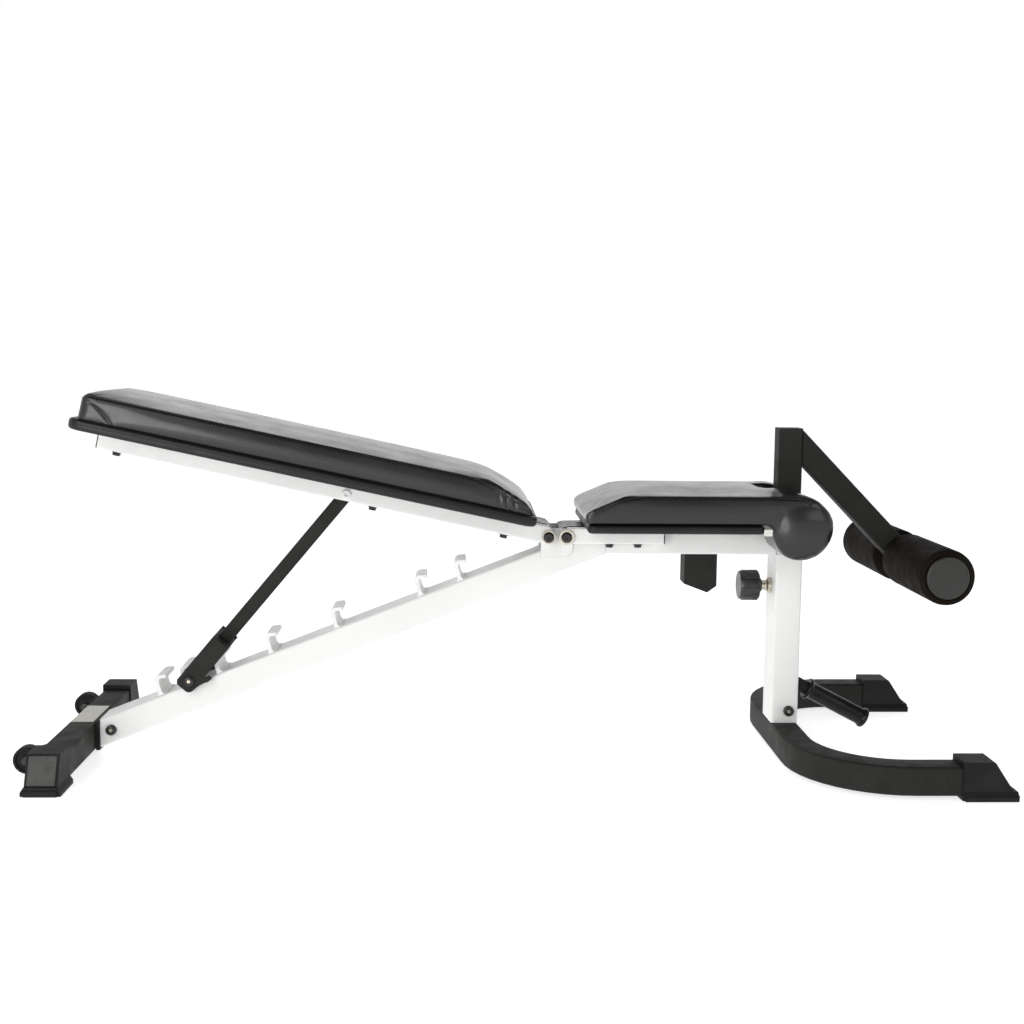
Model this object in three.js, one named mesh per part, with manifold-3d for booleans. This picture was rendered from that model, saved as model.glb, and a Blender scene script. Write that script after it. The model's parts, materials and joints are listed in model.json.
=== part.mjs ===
// Adjustable weight bench: a tilting back pad on a ladder of hooks, a tilting seat
// and a leg hold-down with two foam rollers. Millimetres, +Z up, +X to the front,
// Y = 0 is the plane of symmetry. The parts are laid out around the front post,
// and the finished group is moved so that its origin lies under its middle.

import * as THREE from 'three';
import { mergeVertices } from 'three/addons/utils/BufferGeometryUtils.js';
import Module from 'manifold-3d';

const wasm = await Module();
wasm.setup();

// ---------------------------------------------------------------- driving dimensions
const GAP = 0.3; // left between pieces that touch
const RAD = Math.PI / 180;

// white frame: 50.8 x 76.2 tube
const TUBE_H = 50.8;
const TUBE_W = 76.2;
const TUBE_WALL = 2.5;
const TUBE_CORNER = 5;
const BEAM_BOTTOM = 379.7; // underside of the level beam
const BEND_X = -343.5; // the lower corner of the bend
const SLOPE = 21.47 * RAD;
const BEAM_REAR_X = -1284.3;

// black floor tubes: 50.8 square
const FOOT_SIDE = 50.8;
const FOOT_WALL = 2.5;
const FOOT_Z = 32.4; // centre line of both floor tubes
const REAR_TUBE_X = -1317.5;
const REAR_TUBE_HALF = 236;
const LEG_Y = 293.6; // centre plane of each leg of the front foot
const FOOT_BEND = 165;
const LEG_END_X = 262;
const CAP_TOP = 67;
const CAP_WIDTH = 56;
const CAP_BASE_WIDTH = 68;
const CAP_OVERLAP = 21; // each shoe's length over its tube
const CAP_FLAT = 32; // level top beyond the tube's end
const FRONT_CAP_RUN = 45; // length of the sloping end
const REAR_CAP_RUN = 28;

// transport wheels
const WHEEL_X = -1369;
const WHEEL_Z = 34;
const WHEEL_R = 24;
const WHEEL_WIDTH = 24;
const WHEEL_Y = 188;

// back rest
const BACK_PIVOT = [-453, 414.5];
const BACK_ANGLE = 11.8 * RAD;
const RAIL_LOW = -13.3; // rail edges, from the pivot axis
const RAIL_HIGH = 19.5;
const RAIL_LENGTH = 833;
const RAIL_Y = 54.5; // centre plane of each rail
const RAIL_WIDTH = 20;
const BACK_PAD_START = 36;
const BACK_PAD_END = 862;
const PAD_HALF_WIDTH = 150;
const BOARD = 15;
const PAD_SIDE = 69; // from the rail to the upper seam
const PAD_CROWN = 9;
const STRUT_PIVOT_U = 377.3;

// hooks: X of the inner root of each one, from flat to upright
const HOOK_X = [-1167, -1119.7, -1059, -962, -840, -684.3, -611];
const REST_HOOK = 1;
const HOOK_HALF_WIDTH = 36.5;
const STRUT_PIN_R = 7;
const PIN_IN_HOOK = [8.3, 9]; // along and above the beam, from the hook's root

// seat
const SEAT_PIVOT = [-420, 414.5];
const SEAT_RAIL_TOP = 431.2;
const SEAT_RAIL_DEPTH = 29.5;
const SEAT_RAIL_END = -240.5;
const SEAT_ROLL = [-7.5, 443.5];
const SEAT_ROLL_R = 58;
const NOTCH_HALF = 46;
const NOTCH_X = -60;

// leg hold-down: 44.45 square tube
const HOLD_SIDE = 44.45;
const HOLD_TOP = 615;
const HOLD_BOTTOM = 250;
const ARM_ANGLE = 45.8 * RAD;
const ROLLER_AXIS = [226.5, 370.5];
const ROLLER_R = 49;
const ROLLER_INNER_Y = 25.5;
const ROLLER_OUTER_Y = 243;
const AXLE_R = 9;

// pull pin
const PIN_Z = 316.4;
const KNOB_R = 29;
const KNOB_END = 87.2; // distance of the knob's outer face from the post's centre plane
const STEM_R = 9.3;
const STEM_END = 61;
const ROD_R = 3.5;

const COLOURS = {
  white: { color: 0xf4f4f2, roughness: 0.35, metalness: 0.1 },
  black: { color: 0x25252a, roughness: 0.55, metalness: 0.2 },
  vinyl: { color: 0x1c1c1a, roughness: 0.32, metalness: 0 },
  rubber: { color: 0x232323, roughness: 0.6, metalness: 0 },
  foam: { color: 0x17110d, roughness: 0.9, metalness: 0 },
  plastic: { color: 0x3a3c3a, roughness: 0.45, metalness: 0 },
  steel: { color: 0xb9b7ae, roughness: 0.3, metalness: 1 },
  oxide: { color: 0x1d1d1f, roughness: 0.4, metalness: 0.8 },
  board: { color: 0x1d1a1b, roughness: 0.6, metalness: 0 },
};

// ---------------------------------------------------------------- helpers
function solidOf(geometry) {
  const bare = geometry.clone();
  bare.deleteAttribute('normal');
  bare.deleteAttribute('uv');
  const merged = mergeVertices(bare, 1e-3);
  const mesh = new wasm.Mesh({
    numProp: 3,
    vertProperties: new Float32Array(merged.attributes.position.array),
    triVerts: new Uint32Array(merged.index.array),
  });
  return new wasm.Manifold(mesh);
}

function geometryOf(solid) {
  const mesh = solid.getMesh();
  const geometry = new THREE.BufferGeometry();
  geometry.setAttribute('position', new THREE.BufferAttribute(mesh.vertProperties, 3));
  geometry.setIndex(new THREE.BufferAttribute(mesh.triVerts, 1));
  geometry.computeVertexNormals();
  return geometry;
}

function cut(geometry, ...tools) {
  return geometryOf(tools.reduce((solid, tool) => solid.subtract(solidOf(tool)), solidOf(geometry)));
}

function join(geometry, ...others) {
  return geometryOf(others.reduce((solid, other) => solid.add(solidOf(other)), solidOf(geometry)));
}

function common(geometry, other) {
  return geometryOf(solidOf(geometry).intersect(solidOf(other)));
}

function piece(name, geometry, colour) {
  const mesh = new THREE.Mesh(geometry, new THREE.MeshStandardMaterial(COLOURS[colour]));
  mesh.name = name;
  return mesh;
}

function roundedRect(width, height, radius) {
  const x = width / 2 - radius;
  const y = height / 2 - radius;
  const shape = new THREE.Shape();
  shape.absarc(x, y, radius, 0, Math.PI / 2);
  shape.absarc(-x, y, radius, Math.PI / 2, Math.PI);
  shape.absarc(-x, -y, radius, Math.PI, 1.5 * Math.PI);
  shape.absarc(x, -y, radius, 1.5 * Math.PI, 2 * Math.PI);
  return shape;
}

function tubeSection(width, height, wall, corner) {
  const section = roundedRect(width, height, corner);
  section.holes.push(roundedRect(width - 2 * wall, height - 2 * wall, corner - wall + 0.5));
  return section;
}

function extrude(shape, depth, segments = 2) {
  return new THREE.ExtrudeGeometry(shape, { depth, bevelEnabled: false, curveSegments: segments });
}

const X = new THREE.Vector3(1, 0, 0);
const Y = new THREE.Vector3(0, 1, 0);
const Z = new THREE.Vector3(0, 0, 1);

// section drawn in (Y, Z), running from x0 to x1
function alongX(section, x0, x1, segments) {
  const geometry = extrude(section, x1 - x0, segments);
  return geometry.applyMatrix4(new THREE.Matrix4().makeBasis(Y, Z, X)).translate(x0, 0, 0);
}

// section drawn in (X, Z), running from y0 to y1
function alongY(section, y0, y1, segments) {
  const geometry = extrude(section, y1 - y0, segments);
  const turn = new THREE.Matrix4().makeBasis(X, Z, Y.clone().negate());
  return geometry.applyMatrix4(turn).translate(0, y1, 0);
}

// section drawn in (X, Y), running from z0 to z1
function alongZ(section, z0, z1, segments) {
  return extrude(section, z1 - z0, segments).translate(0, 0, z0);
}

function box(x0, x1, y0, y1, z0, z1) {
  const geometry = new THREE.BoxGeometry(x1 - x0, y1 - y0, z1 - z0);
  return geometry.translate((x0 + x1) / 2, (y0 + y1) / 2, (z0 + z1) / 2);
}

function outline(points) {
  return new THREE.Shape(points.map(([a, b]) => new THREE.Vector2(a, b)));
}

// solid of revolution about the local Y axis: profile of [radius, y] from axis to axis
function turned(profile, segments = 20) {
  return new THREE.LatheGeometry(profile.map(([r, y]) => new THREE.Vector2(r, y)), segments);
}

function rod(radius, y0, y1, segments = 16) {
  return turned([[0, y0], [radius, y0], [radius, y1], [0, y1]], segments);
}

const nearFar = [['near', -1], ['far', 1]];

// height of the sloping beam's top face above a given X
function beamTop(x) {
  return BEAM_BOTTOM + TUBE_H / Math.cos(SLOPE) - (BEND_X - x) * Math.tan(SLOPE);
}

// a point given along and above the sloping beam, from the top face at x
function onBeam(x, along, above) {
  return [
    x + along * Math.cos(SLOPE) - above * Math.sin(SLOPE),
    beamTop(x) + along * Math.sin(SLOPE) + above * Math.cos(SLOPE),
  ];
}

// a bolt along Y with a domed socket head on the near side and a domed nut on the far side
function throughBolt(shankR, headR, halfGrip, headDepth) {
  const y = halfGrip;
  const profile = [
    [0, -y - headDepth + 2.5],
    [headR * 0.35, -y - headDepth + 2.5],
    [headR * 0.4, -y - headDepth],
    [headR * 0.72, -y - headDepth],
    [headR, -y - headDepth * 0.45],
    [headR, -y],
    [shankR, -y],
    [shankR, y],
    [headR, y],
    [headR, y + headDepth * 0.6],
    [headR * 0.6, y + headDepth],
    [0, y + headDepth],
  ];
  return turned(profile, 12);
}

// ---------------------------------------------------------------- white frame
// cuts everything on the far side of the mitre plane through the bend
function mitreTool(side) {
  const tool = box(0, 400, -60, 60, -300, 300).translate(side > 0 ? -GAP / 2 : GAP / 2 - 400, 0, 0);
  return tool.rotateY(-SLOPE / 2).translate(BEND_X, 0, BEAM_BOTTOM);
}

function slopingBeam() {
  const length = 1080;
  const section = tubeSection(TUBE_W, TUBE_H, TUBE_WALL, TUBE_CORNER);
  const tube = alongX(section, -length, 60).translate(0, 0, TUBE_H / 2);
  tube.rotateY(-SLOPE).translate(BEND_X, 0, BEAM_BOTTOM);
  const rearEnd = box(BEAM_REAR_X - 300, BEAM_REAR_X, -60, 60, -200, 300);
  const boltHole = rod(5.6, -60, 60).translate(...rearBoltPlace());
  return cut(tube, mitreTool(1), rearEnd, boltHole);
}

function rearBoltPlace() {
  return [BEAM_REAR_X + 21, 0, 44.5];
}

function seatBeam() {
  const section = tubeSection(TUBE_W, TUBE_H, TUBE_WALL, TUBE_CORNER);
  const tube = alongX(section, BEND_X - 60, -TUBE_H / 2 - GAP);
  tube.translate(0, 0, BEAM_BOTTOM + TUBE_H / 2);
  const propSlot = box(-206, -112, -28, 28, BEAM_BOTTOM - 20, BEAM_BOTTOM + TUBE_H + 20);
  return cut(tube, mitreTool(-1), propSlot);
}

function frontPost() {
  const bottom = FOOT_Z + FOOT_SIDE / 2 + GAP;
  const section = tubeSection(TUBE_H, TUBE_W, TUBE_WALL, TUBE_CORNER);
  const tube = alongZ(section, bottom, BEAM_BOTTOM + TUBE_H);
  const boltHole = rod(5.6, -60, 60).translate(7, 0, 81.7);
  const pinHole = rod(8.3, -20, 20).rotateZ(Math.PI / 2).translate(-TUBE_H / 2, 0, PIN_Z);
  return cut(tube, boltHole, pinHole);
}

function hook(x) {
  const profile = new THREE.Shape();
  profile.moveTo(-8, GAP);
  profile.lineTo(-5.2, 28);
  profile.quadraticCurveTo(-4, 38.5, 6, 37.8);
  profile.lineTo(19, 34);
  profile.lineTo(18, 27.5);
  profile.lineTo(8, 30.5);
  profile.quadraticCurveTo(2.6, 31, 2.2, 24);
  profile.lineTo(0.3, 7);
  profile.quadraticCurveTo(1.2, 1.2, 6, GAP);
  const plate = alongY(profile, -HOOK_HALF_WIDTH, HOOK_HALF_WIDTH, 4);
  return plate.rotateY(-SLOPE).translate(x, 0, beamTop(x));
}

// side plate that carries both pivots above the beam
function hingeBracket(side) {
  const profile = new THREE.Shape();
  profile.moveTo(-466, 372);
  profile.lineTo(-466, 414.5);
  profile.absarc(BACK_PIVOT[0], BACK_PIVOT[1], 13, Math.PI, Math.PI / 2, true);
  profile.lineTo(SEAT_PIVOT[0], SEAT_PIVOT[1] + 13);
  profile.absarc(SEAT_PIVOT[0], SEAT_PIVOT[1], 13, Math.PI / 2, 0, true);
  profile.lineTo(-407, 386);
  profile.lineTo(-416, 376);
  for (const [x, z] of [BACK_PIVOT, SEAT_PIVOT]) {
    const hole = new THREE.Path();
    hole.absarc(x, z, 6.2, 0, 2 * Math.PI);
    profile.holes.push(hole);
  }
  const inner = TUBE_W / 2 + GAP;
  return side < 0 ? alongY(profile, -inner - 4.5, -inner, 6) : alongY(profile, inner, inner + 4.5, 6);
}

function hingeBolt([x, z]) {
  const pivotHalf = RAIL_Y + RAIL_WIDTH / 2;
  return throughBolt(5.5, 9.5, pivotHalf + 2.2, 6).translate(x, 0, z);
}

// ---------------------------------------------------------------- feet
function rearCrossTube() {
  const section = tubeSection(FOOT_SIDE, FOOT_SIDE, FOOT_WALL, 4.5);
  const tube = alongY(section, -REAR_TUBE_HALF, REAR_TUBE_HALF);
  return tube.translate(REAR_TUBE_X, 0, FOOT_Z);
}

// plate on the cross tube with a spigot that the beam slides over
function rearStub() {
  const face = REAR_TUBE_X + FOOT_SIDE / 2 + GAP;
  const plate = box(face, BEAM_REAR_X - GAP, -42, 42, FOOT_Z - 26, FOOT_Z + 30);
  const spigot = box(BEAM_REAR_X - 1, BEAM_REAR_X + 46, -34.5, 34.5, 22.5, 53);
  const slope = box(-100, 100, -60, 60, -80, 0).rotateY(-SLOPE).translate(BEAM_REAR_X, 0, 15.2);
  const boltHole = rod(5.8, -60, 60).translate(...rearBoltPlace());
  const trimmed = cut(spigot, slope);
  return cut(join(plate, trimmed), boltHole);
}

// shoe on a tube that ends at x = 0 and comes from -X; run is the length of its sloping end
function footCap(run) {
  const half = CAP_WIDTH / 2;
  const baseHalf = CAP_BASE_WIDTH / 2;
  const end = CAP_FLAT + run;
  const profile = outline([
    [-CAP_OVERLAP, 0], [end, 0], [end, 9], [end - 0.22 * run, 14], [CAP_FLAT, CAP_TOP], [-CAP_OVERLAP, CAP_TOP],
  ]);
  const body = alongY(profile, -half, half);
  const flange = alongX(outline([
    [-baseHalf, 0], [baseHalf, 0], [baseHalf, 7], [half, 16], [-half, 16], [-baseHalf, 7],
  ]), -CAP_OVERLAP + 3, end - 3);
  const side = FOOT_SIDE / 2 + GAP;
  const socket = box(-40, GAP, -side, side, FOOT_Z - side, FOOT_Z + side);
  return cut(join(body, flange), socket);
}

// ear on the cross tube, on the inner side of the wheel
function wheelEar(side) {
  const rear = REAR_TUBE_X - FOOT_SIDE / 2 - GAP;
  const middle = side * (WHEEL_Y - WHEEL_WIDTH / 2 - 4);
  const ear = new THREE.Shape();
  ear.moveTo(rear, WHEEL_Z - 14);
  ear.lineTo(WHEEL_X, WHEEL_Z - 12);
  ear.absarc(WHEEL_X, WHEEL_Z, 12, -Math.PI / 2, -1.5 * Math.PI, true);
  ear.lineTo(rear, WHEEL_Z + 22);
  const hole = new THREE.Path();
  hole.absarc(WHEEL_X, WHEEL_Z, 5.3, 0, 2 * Math.PI);
  ear.holes.push(hole);
  return alongY(ear, middle - 2.5, middle + 2.5, 6);
}

// shoulder bolt that the wheel turns on, with its nut inside the ear
function wheelAxle(side) {
  const half = WHEEL_WIDTH / 2;
  const axle = turned([
    [0, -half - 13], [7.5, -half - 13], [7.5, -half - 6.8], [4.8, -half - 6.8],
    [4.8, half + 0.6], [8, half + 0.6], [8, half + 2.6], [6, half + 4], [0, half + 4],
  ], 16);
  return side > 0 ? axle : axle.rotateZ(Math.PI);
}

function transportWheel() {
  const h = WHEEL_WIDTH / 2;
  return turned([
    [5.3, -h], [10.5, -h], [12, -h + 3], [18, -h + 3], [19, -h],
    [WHEEL_R - 1.5, -h], [WHEEL_R, -h + 1.5], [WHEEL_R, h - 1.5], [WHEEL_R - 1.5, h],
    [19, h], [18, h - 3], [12, h - 3], [10.5, h], [5.3, h], [5.3, -h],
  ], 24);
}

// centre line of the front foot: one leg, bend, cross stretch, bend, the other leg
function footPath() {
  const path = new THREE.CurvePath();
  const straight = LEG_Y - FOOT_BEND;
  const point = (x, y) => new THREE.Vector3(x, y, 0);
  const arc = 0.5523 * FOOT_BEND;
  path.add(new THREE.LineCurve3(point(LEG_END_X, -LEG_Y), point(FOOT_BEND, -LEG_Y)));
  path.add(new THREE.CubicBezierCurve3(
    point(FOOT_BEND, -LEG_Y), point(FOOT_BEND - arc, -LEG_Y),
    point(0, -straight - arc), point(0, -straight)));
  path.add(new THREE.LineCurve3(point(0, -straight), point(0, straight)));
  path.add(new THREE.CubicBezierCurve3(
    point(0, straight), point(0, straight + arc),
    point(FOOT_BEND - arc, LEG_Y), point(FOOT_BEND, LEG_Y)));
  path.add(new THREE.LineCurve3(point(FOOT_BEND, LEG_Y), point(LEG_END_X, LEG_Y)));
  return path;
}

// the square tube swept along the foot's centre line
function sweptFoot(side, corner, path, steps) {
  const geometry = new THREE.ExtrudeGeometry(roundedRect(side, side, corner), {
    steps,
    bevelEnabled: false,
    curveSegments: 2,
    extrudePath: path,
  });
  return geometry.translate(0, 0, FOOT_Z);
}

function frontFootTube() {
  return cut(sweptFoot(FOOT_SIDE, 4.5, footPath(), 40), ...legBores());
}

// the tube is open at both ends, under the caps
function legBores() {
  const half = FOOT_SIDE / 2 - FOOT_WALL;
  return nearFar.map(([, side]) => (
    box(FOOT_BEND + 4, LEG_END_X + 5, side * LEG_Y - half, side * LEG_Y + half, FOOT_Z - half, FOOT_Z + half)
  ));
}

function frontStub() {
  const top = FOOT_Z + FOOT_SIDE / 2 + GAP;
  const inner = TUBE_H / 2 - TUBE_WALL - 0.8;
  const block = box(-inner, inner, -34, 34, top, top + 44);
  const boltHole = rod(5.8, -60, 60).translate(7, 0, 81.7);
  return cut(block, boltHole);
}

// ---------------------------------------------------------------- lift handle
const HANDLE_ANGLE = 27.5 * RAD;
const HANDLE_START = [TUBE_H / 2 + 0.6, 128.8];
const HANDLE_LENGTH = 156;

function placeHandle(geometry) {
  return geometry.rotateZ(-Math.PI / 2).rotateY(HANDLE_ANGLE).translate(HANDLE_START[0], 0, HANDLE_START[1]);
}

function handleBar() {
  const end = HANDLE_LENGTH - 5;
  const bar = placeHandle(turned([[0, 4], [12.5, 4], [12.5, end], [0, end]], 20));
  return cut(bar, box(-60, TUBE_H / 2 + GAP, -60, 60, 0, 300));
}

function handleGrip() {
  const end = HANDLE_LENGTH;
  return placeHandle(turned([
    [12.8, 26], [19.5, 26], [21, 28], [21, 31], [19, 33], [16.2, 36], [16.2, end - 12],
    [17.8, end - 8], [19.5, end - 6], [19.5, end - 2], [17.5, end], [0, end],
    [0, end - 4.7], [12.8, end - 4.7], [12.8, 26],
  ], 24));
}

// ---------------------------------------------------------------- back rest
// drawn level with the pivot at the origin and the head end towards -X
function backRail(side) {
  const height = RAIL_HIGH - RAIL_LOW;
  const section = tubeSection(RAIL_WIDTH, height, 2, 3.5);
  const tube = alongX(section, -RAIL_LENGTH, 13, 2);
  tube.translate(0, side * RAIL_Y, (RAIL_HIGH + RAIL_LOW) / 2);
  const round = new THREE.Shape();
  round.moveTo(-RAIL_LENGTH - 10, RAIL_LOW - 1);
  round.lineTo(0, RAIL_LOW - 1);
  round.absarc(0, 0, 13.6, -Math.PI / 2, 0.25 * Math.PI);
  round.lineTo(-6, RAIL_HIGH + 1);
  round.lineTo(-RAIL_LENGTH - 10, RAIL_HIGH + 1);
  const keep = alongY(round, -80, 80, 8);
  const pivotHole = rod(5.9, -80, 80);
  const strutHole = rod(5.4, -80, 80).translate(-STRUT_PIVOT_U, 0, 0);
  return cut(common(tube, keep), pivotHole, strutHole);
}

// plan outline of a pad or board: straight sides with rounded corners
function padPlan(x0, x1, halfWidth, radius) {
  const plan = roundedRect(x1 - x0, 2 * halfWidth, radius);
  return { plan, centre: (x0 + x1) / 2 };
}

function backBoard() {
  const { plan, centre } = padPlan(-BACK_PAD_END + 5, -BACK_PAD_START - 7, PAD_HALF_WIDTH - 4, 22);
  const low = RAIL_HIGH + GAP;
  return alongZ(plan, low, low + BOARD, 5).translate(centre, 0, 0);
}

// side outline of the back pad, above its board
function backPadSide() {
  const low = RAIL_HIGH + GAP + BOARD + GAP;
  const seam = RAIL_HIGH + PAD_SIDE;
  const top = seam + PAD_CROWN;
  const shape = new THREE.Shape();
  shape.moveTo(-BACK_PAD_START, low);
  shape.lineTo(-BACK_PAD_START - 4, 46);
  shape.quadraticCurveTo(-BACK_PAD_START - 8, 56, -BACK_PAD_START - 22, 64);
  shape.lineTo(-BACK_PAD_START - 88, top - 8);
  shape.quadraticCurveTo(-BACK_PAD_START - 106, top - 1, -BACK_PAD_START - 140, top);
  shape.lineTo(-BACK_PAD_END + 40, top);
  shape.quadraticCurveTo(-BACK_PAD_END + 8, top - 1, -BACK_PAD_END + 3, seam - 10);
  shape.lineTo(-BACK_PAD_END, low);
  return shape;
}

// end view of a pad: flat underneath, rounded shoulders, a shallow crown
function padEnd(low, top) {
  const w = PAD_HALF_WIDTH;
  const shape = new THREE.Shape();
  shape.moveTo(-w + 2, low - 1);
  shape.lineTo(w - 2, low - 1);
  shape.lineTo(w, top - 20);
  shape.quadraticCurveTo(w - 1, top - 10, w - 14, top - 7);
  shape.quadraticCurveTo(w * 0.5, top + 0.5, 0, top + 0.5);
  shape.quadraticCurveTo(-w * 0.5, top + 0.5, -w + 14, top - 7);
  shape.quadraticCurveTo(-w + 1, top - 10, -w, top - 20);
  return shape;
}

function backPad() {
  const low = RAIL_HIGH + GAP + BOARD + GAP;
  const top = RAIL_HIGH + PAD_SIDE + PAD_CROWN;
  const side = alongY(backPadSide(), -PAD_HALF_WIDTH, PAD_HALF_WIDTH, 4);
  const end = alongX(padEnd(low, top), -BACK_PAD_END - 5, -BACK_PAD_START + 5, 3);
  const { plan, centre } = padPlan(-BACK_PAD_END, -BACK_PAD_START, PAD_HALF_WIDTH, 26);
  const column = alongZ(plan, low - 5, top + 5, 5).translate(centre, 0, 0);
  return common(common(side, end), column);
}

// bent strap under the pad that wraps the pivot, drawn around the pivot
// direction is -1 for the back (strap runs towards -X) and +1 for the seat
function hingeCover(direction, reach, top) {
  const outer = 15.4;
  const inner = 11.4;
  const shape = new THREE.Shape();
  shape.moveTo(direction * reach, top);
  shape.lineTo(direction * 8, top);
  shape.quadraticCurveTo(-direction * 2, outer, -direction * 10, outer * 0.72);
  shape.quadraticCurveTo(-direction * outer, outer * 0.4, -direction * outer, -4);
  shape.lineTo(-direction * inner, -4);
  shape.quadraticCurveTo(-direction * inner, inner * 0.5, -direction * 6, inner * 0.85);
  shape.quadraticCurveTo(direction * 2, top - 5, direction * 12, top - 4);
  shape.lineTo(direction * reach, top - 4);
  return alongY(shape, -33, 33, 5);
}

function strutPivotBolt() {
  return throughBolt(5, 9, RAIL_Y + RAIL_WIDTH / 2 + GAP, 4.5);
}

// ---------------------------------------------------------------- strut
// drawn level, with the upper pivot at the origin and the foot towards -X
function strutBar(length) {
  const section = tubeSection(25.4, 25.4, 2, 3.5);
  const tube = alongX(section, -length + 92, 12.7, 2);
  return cut(tube, rod(5.3, -30, 30));
}

// saddle that straddles the beam: two cheeks joined by a bridge at the upper end
function strutYoke(length) {
  const cheek = new THREE.Shape();
  cheek.moveTo(-length + 94, -17);
  cheek.lineTo(-length + 94, 19);
  cheek.lineTo(-length - 11, 19);
  cheek.quadraticCurveTo(-length - 19, 17, -length - 19, 8);
  cheek.lineTo(-length - 19, -9);
  cheek.quadraticCurveTo(-length - 17, -16, -length - 8, -17);
  cheek.quadraticCurveTo(-length + 8, -18, -length + 22, -28);
  cheek.lineTo(-length + 31, -29);
  cheek.lineTo(-length + 31, -21);
  cheek.lineTo(-length + 24, -17);
  const inner = 48;
  const outer = 52;
  const cheeks = nearFar.map(([, side]) => (
    alongY(cheek, Math.min(side * inner, side * outer), Math.max(side * inner, side * outer), 4)
  ));
  const bridge = box(-length + 86, -length + 91.6, -inner - 1, inner + 1, -17, 19);
  const holes = rod(STRUT_PIN_R + GAP, -80, 80).translate(-length, 0, 0);
  return cut(join(bridge, ...cheeks), holes);
}

function strutPin() {
  return throughBolt(STRUT_PIN_R, 9.5, 52 + GAP, 4.5);
}

// ---------------------------------------------------------------- seat
function seatRail(side) {
  const section = tubeSection(RAIL_WIDTH, SEAT_RAIL_DEPTH, 2, 3.5);
  const tube = alongX(section, SEAT_PIVOT[0] - 13, SEAT_RAIL_END, 2);
  tube.translate(0, side * RAIL_Y, SEAT_RAIL_TOP - SEAT_RAIL_DEPTH / 2);
  const round = new THREE.Shape();
  round.absarc(SEAT_PIVOT[0], SEAT_PIVOT[1], 13, -Math.PI / 2, -1.25 * Math.PI, true);
  round.lineTo(SEAT_PIVOT[0] + 6, SEAT_RAIL_TOP + 1);
  round.lineTo(SEAT_RAIL_END + 5, SEAT_RAIL_TOP + 1);
  round.lineTo(SEAT_RAIL_END + 5, SEAT_RAIL_TOP - SEAT_RAIL_DEPTH - 1);
  const keep = alongY(round, -80, 80, 8);
  const hole = rod(5.9, -80, 80).translate(SEAT_PIVOT[0], 0, SEAT_PIVOT[1]);
  return cut(common(tube, keep), hole);
}

function seatBoard() {
  const low = SEAT_RAIL_TOP + GAP;
  const { plan, centre } = padPlan(-384, -72, PAD_HALF_WIDTH - 4, 22);
  return alongZ(plan, low, low + BOARD, 5).translate(centre, 0, 0);
}

// side outline of the seat pad: bevelled rear, level top, rolled front
function seatPadSide() {
  const low = SEAT_RAIL_TOP + GAP + BOARD + GAP;
  const seam = SEAT_RAIL_TOP + PAD_SIDE;
  const top = seam + PAD_CROWN;
  const [rx, rz] = SEAT_ROLL;
  const shape = new THREE.Shape();
  shape.moveTo(-389, low);
  shape.lineTo(-396, 460);
  shape.quadraticCurveTo(-396, 470, -384, 475);
  shape.lineTo(-334, top - 12);
  shape.quadraticCurveTo(-312, top - 1, -280, top);
  shape.lineTo(-60, top - 1);
  shape.quadraticCurveTo(-20, top, rx, rz + SEAT_ROLL_R);
  shape.absarc(rx, rz, SEAT_ROLL_R, Math.PI / 2, -0.75 * Math.PI, true);
  shape.lineTo(-63, low);
  return shape;
}

function seatPad() {
  const low = SEAT_ROLL[1] - SEAT_ROLL_R;
  const top = SEAT_RAIL_TOP + PAD_SIDE + PAD_CROWN;
  const side = alongY(seatPadSide(), -PAD_HALF_WIDTH, PAD_HALF_WIDTH, 6);
  const end = alongX(padEnd(low, top), -400, SEAT_ROLL[0] + SEAT_ROLL_R + 5, 3);
  const notch = box(NOTCH_X, 100, -NOTCH_HALF, NOTCH_HALF, 300, 600);
  return cut(common(side, end), notch);
}

// post under the seat that runs down through the beam
function seatProp() {
  const profile = outline([[-195, 430.8], [-195, 322], [-151, 305.4], [-133.6, 318], [-133.6, 430.8]]);
  return alongY(profile, -24, 24);
}

// ---------------------------------------------------------------- leg hold-down
function holdDownTube() {
  const section = tubeSection(HOLD_SIDE, HOLD_SIDE, 2.5, 4);
  const tube = alongZ(section, HOLD_BOTTOM, HOLD_TOP);
  const lid = HOLD_SIDE / 2 - 1.5;
  const cap = box(-lid, lid, -lid, lid, HOLD_TOP - 2.5, HOLD_TOP);
  const pinHole = rod(7, -20, 20).rotateZ(Math.PI / 2).translate(-HOLD_SIDE / 2, 0, PIN_Z);
  return cut(join(tube, cap), pinHole);
}

function holdDownArm() {
  const start = HOLD_SIDE / 2;
  const [ax, az] = ROLLER_AXIS;
  const length = (ax - start) / Math.cos(ARM_ANGLE);
  const place = (geometry) => geometry.rotateY(ARM_ANGLE).translate(ax, 0, az);
  const bar = place(alongX(roundedRect(HOLD_SIDE, HOLD_SIDE, 4), -length - 60, 10, 3));
  const inner = HOLD_SIDE / 2 - 2.5;
  const hollow = place(box(-length - 70, -HOLD_SIDE / 2 - 4, -inner, inner, -inner, inner));
  const postSide = box(-400, start + GAP, -60, 60, 300, 900);
  const round = rod(HOLD_SIDE / 2, -HOLD_SIDE / 2, HOLD_SIDE / 2, 28).translate(ax, 0, az);
  const axleHole = rod(AXLE_R + GAP, -60, 60).translate(ax, 0, az);
  return cut(join(cut(bar, postSide, hollow), round), axleHole);
}

function footRoller(side) {
  const [inner, outer] = [ROLLER_INNER_Y, ROLLER_OUTER_Y];
  const roller = turned([
    [AXLE_R + GAP, inner], [ROLLER_R - 5, inner], [ROLLER_R - 1.5, inner + 1.5], [ROLLER_R, inner + 5],
    [ROLLER_R, outer - 5], [ROLLER_R - 1.5, outer - 1.5], [ROLLER_R - 5, outer], [AXLE_R + GAP, outer],
    [AXLE_R + GAP, inner],
  ], 36);
  return side > 0 ? roller : roller.rotateZ(Math.PI);
}

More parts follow.
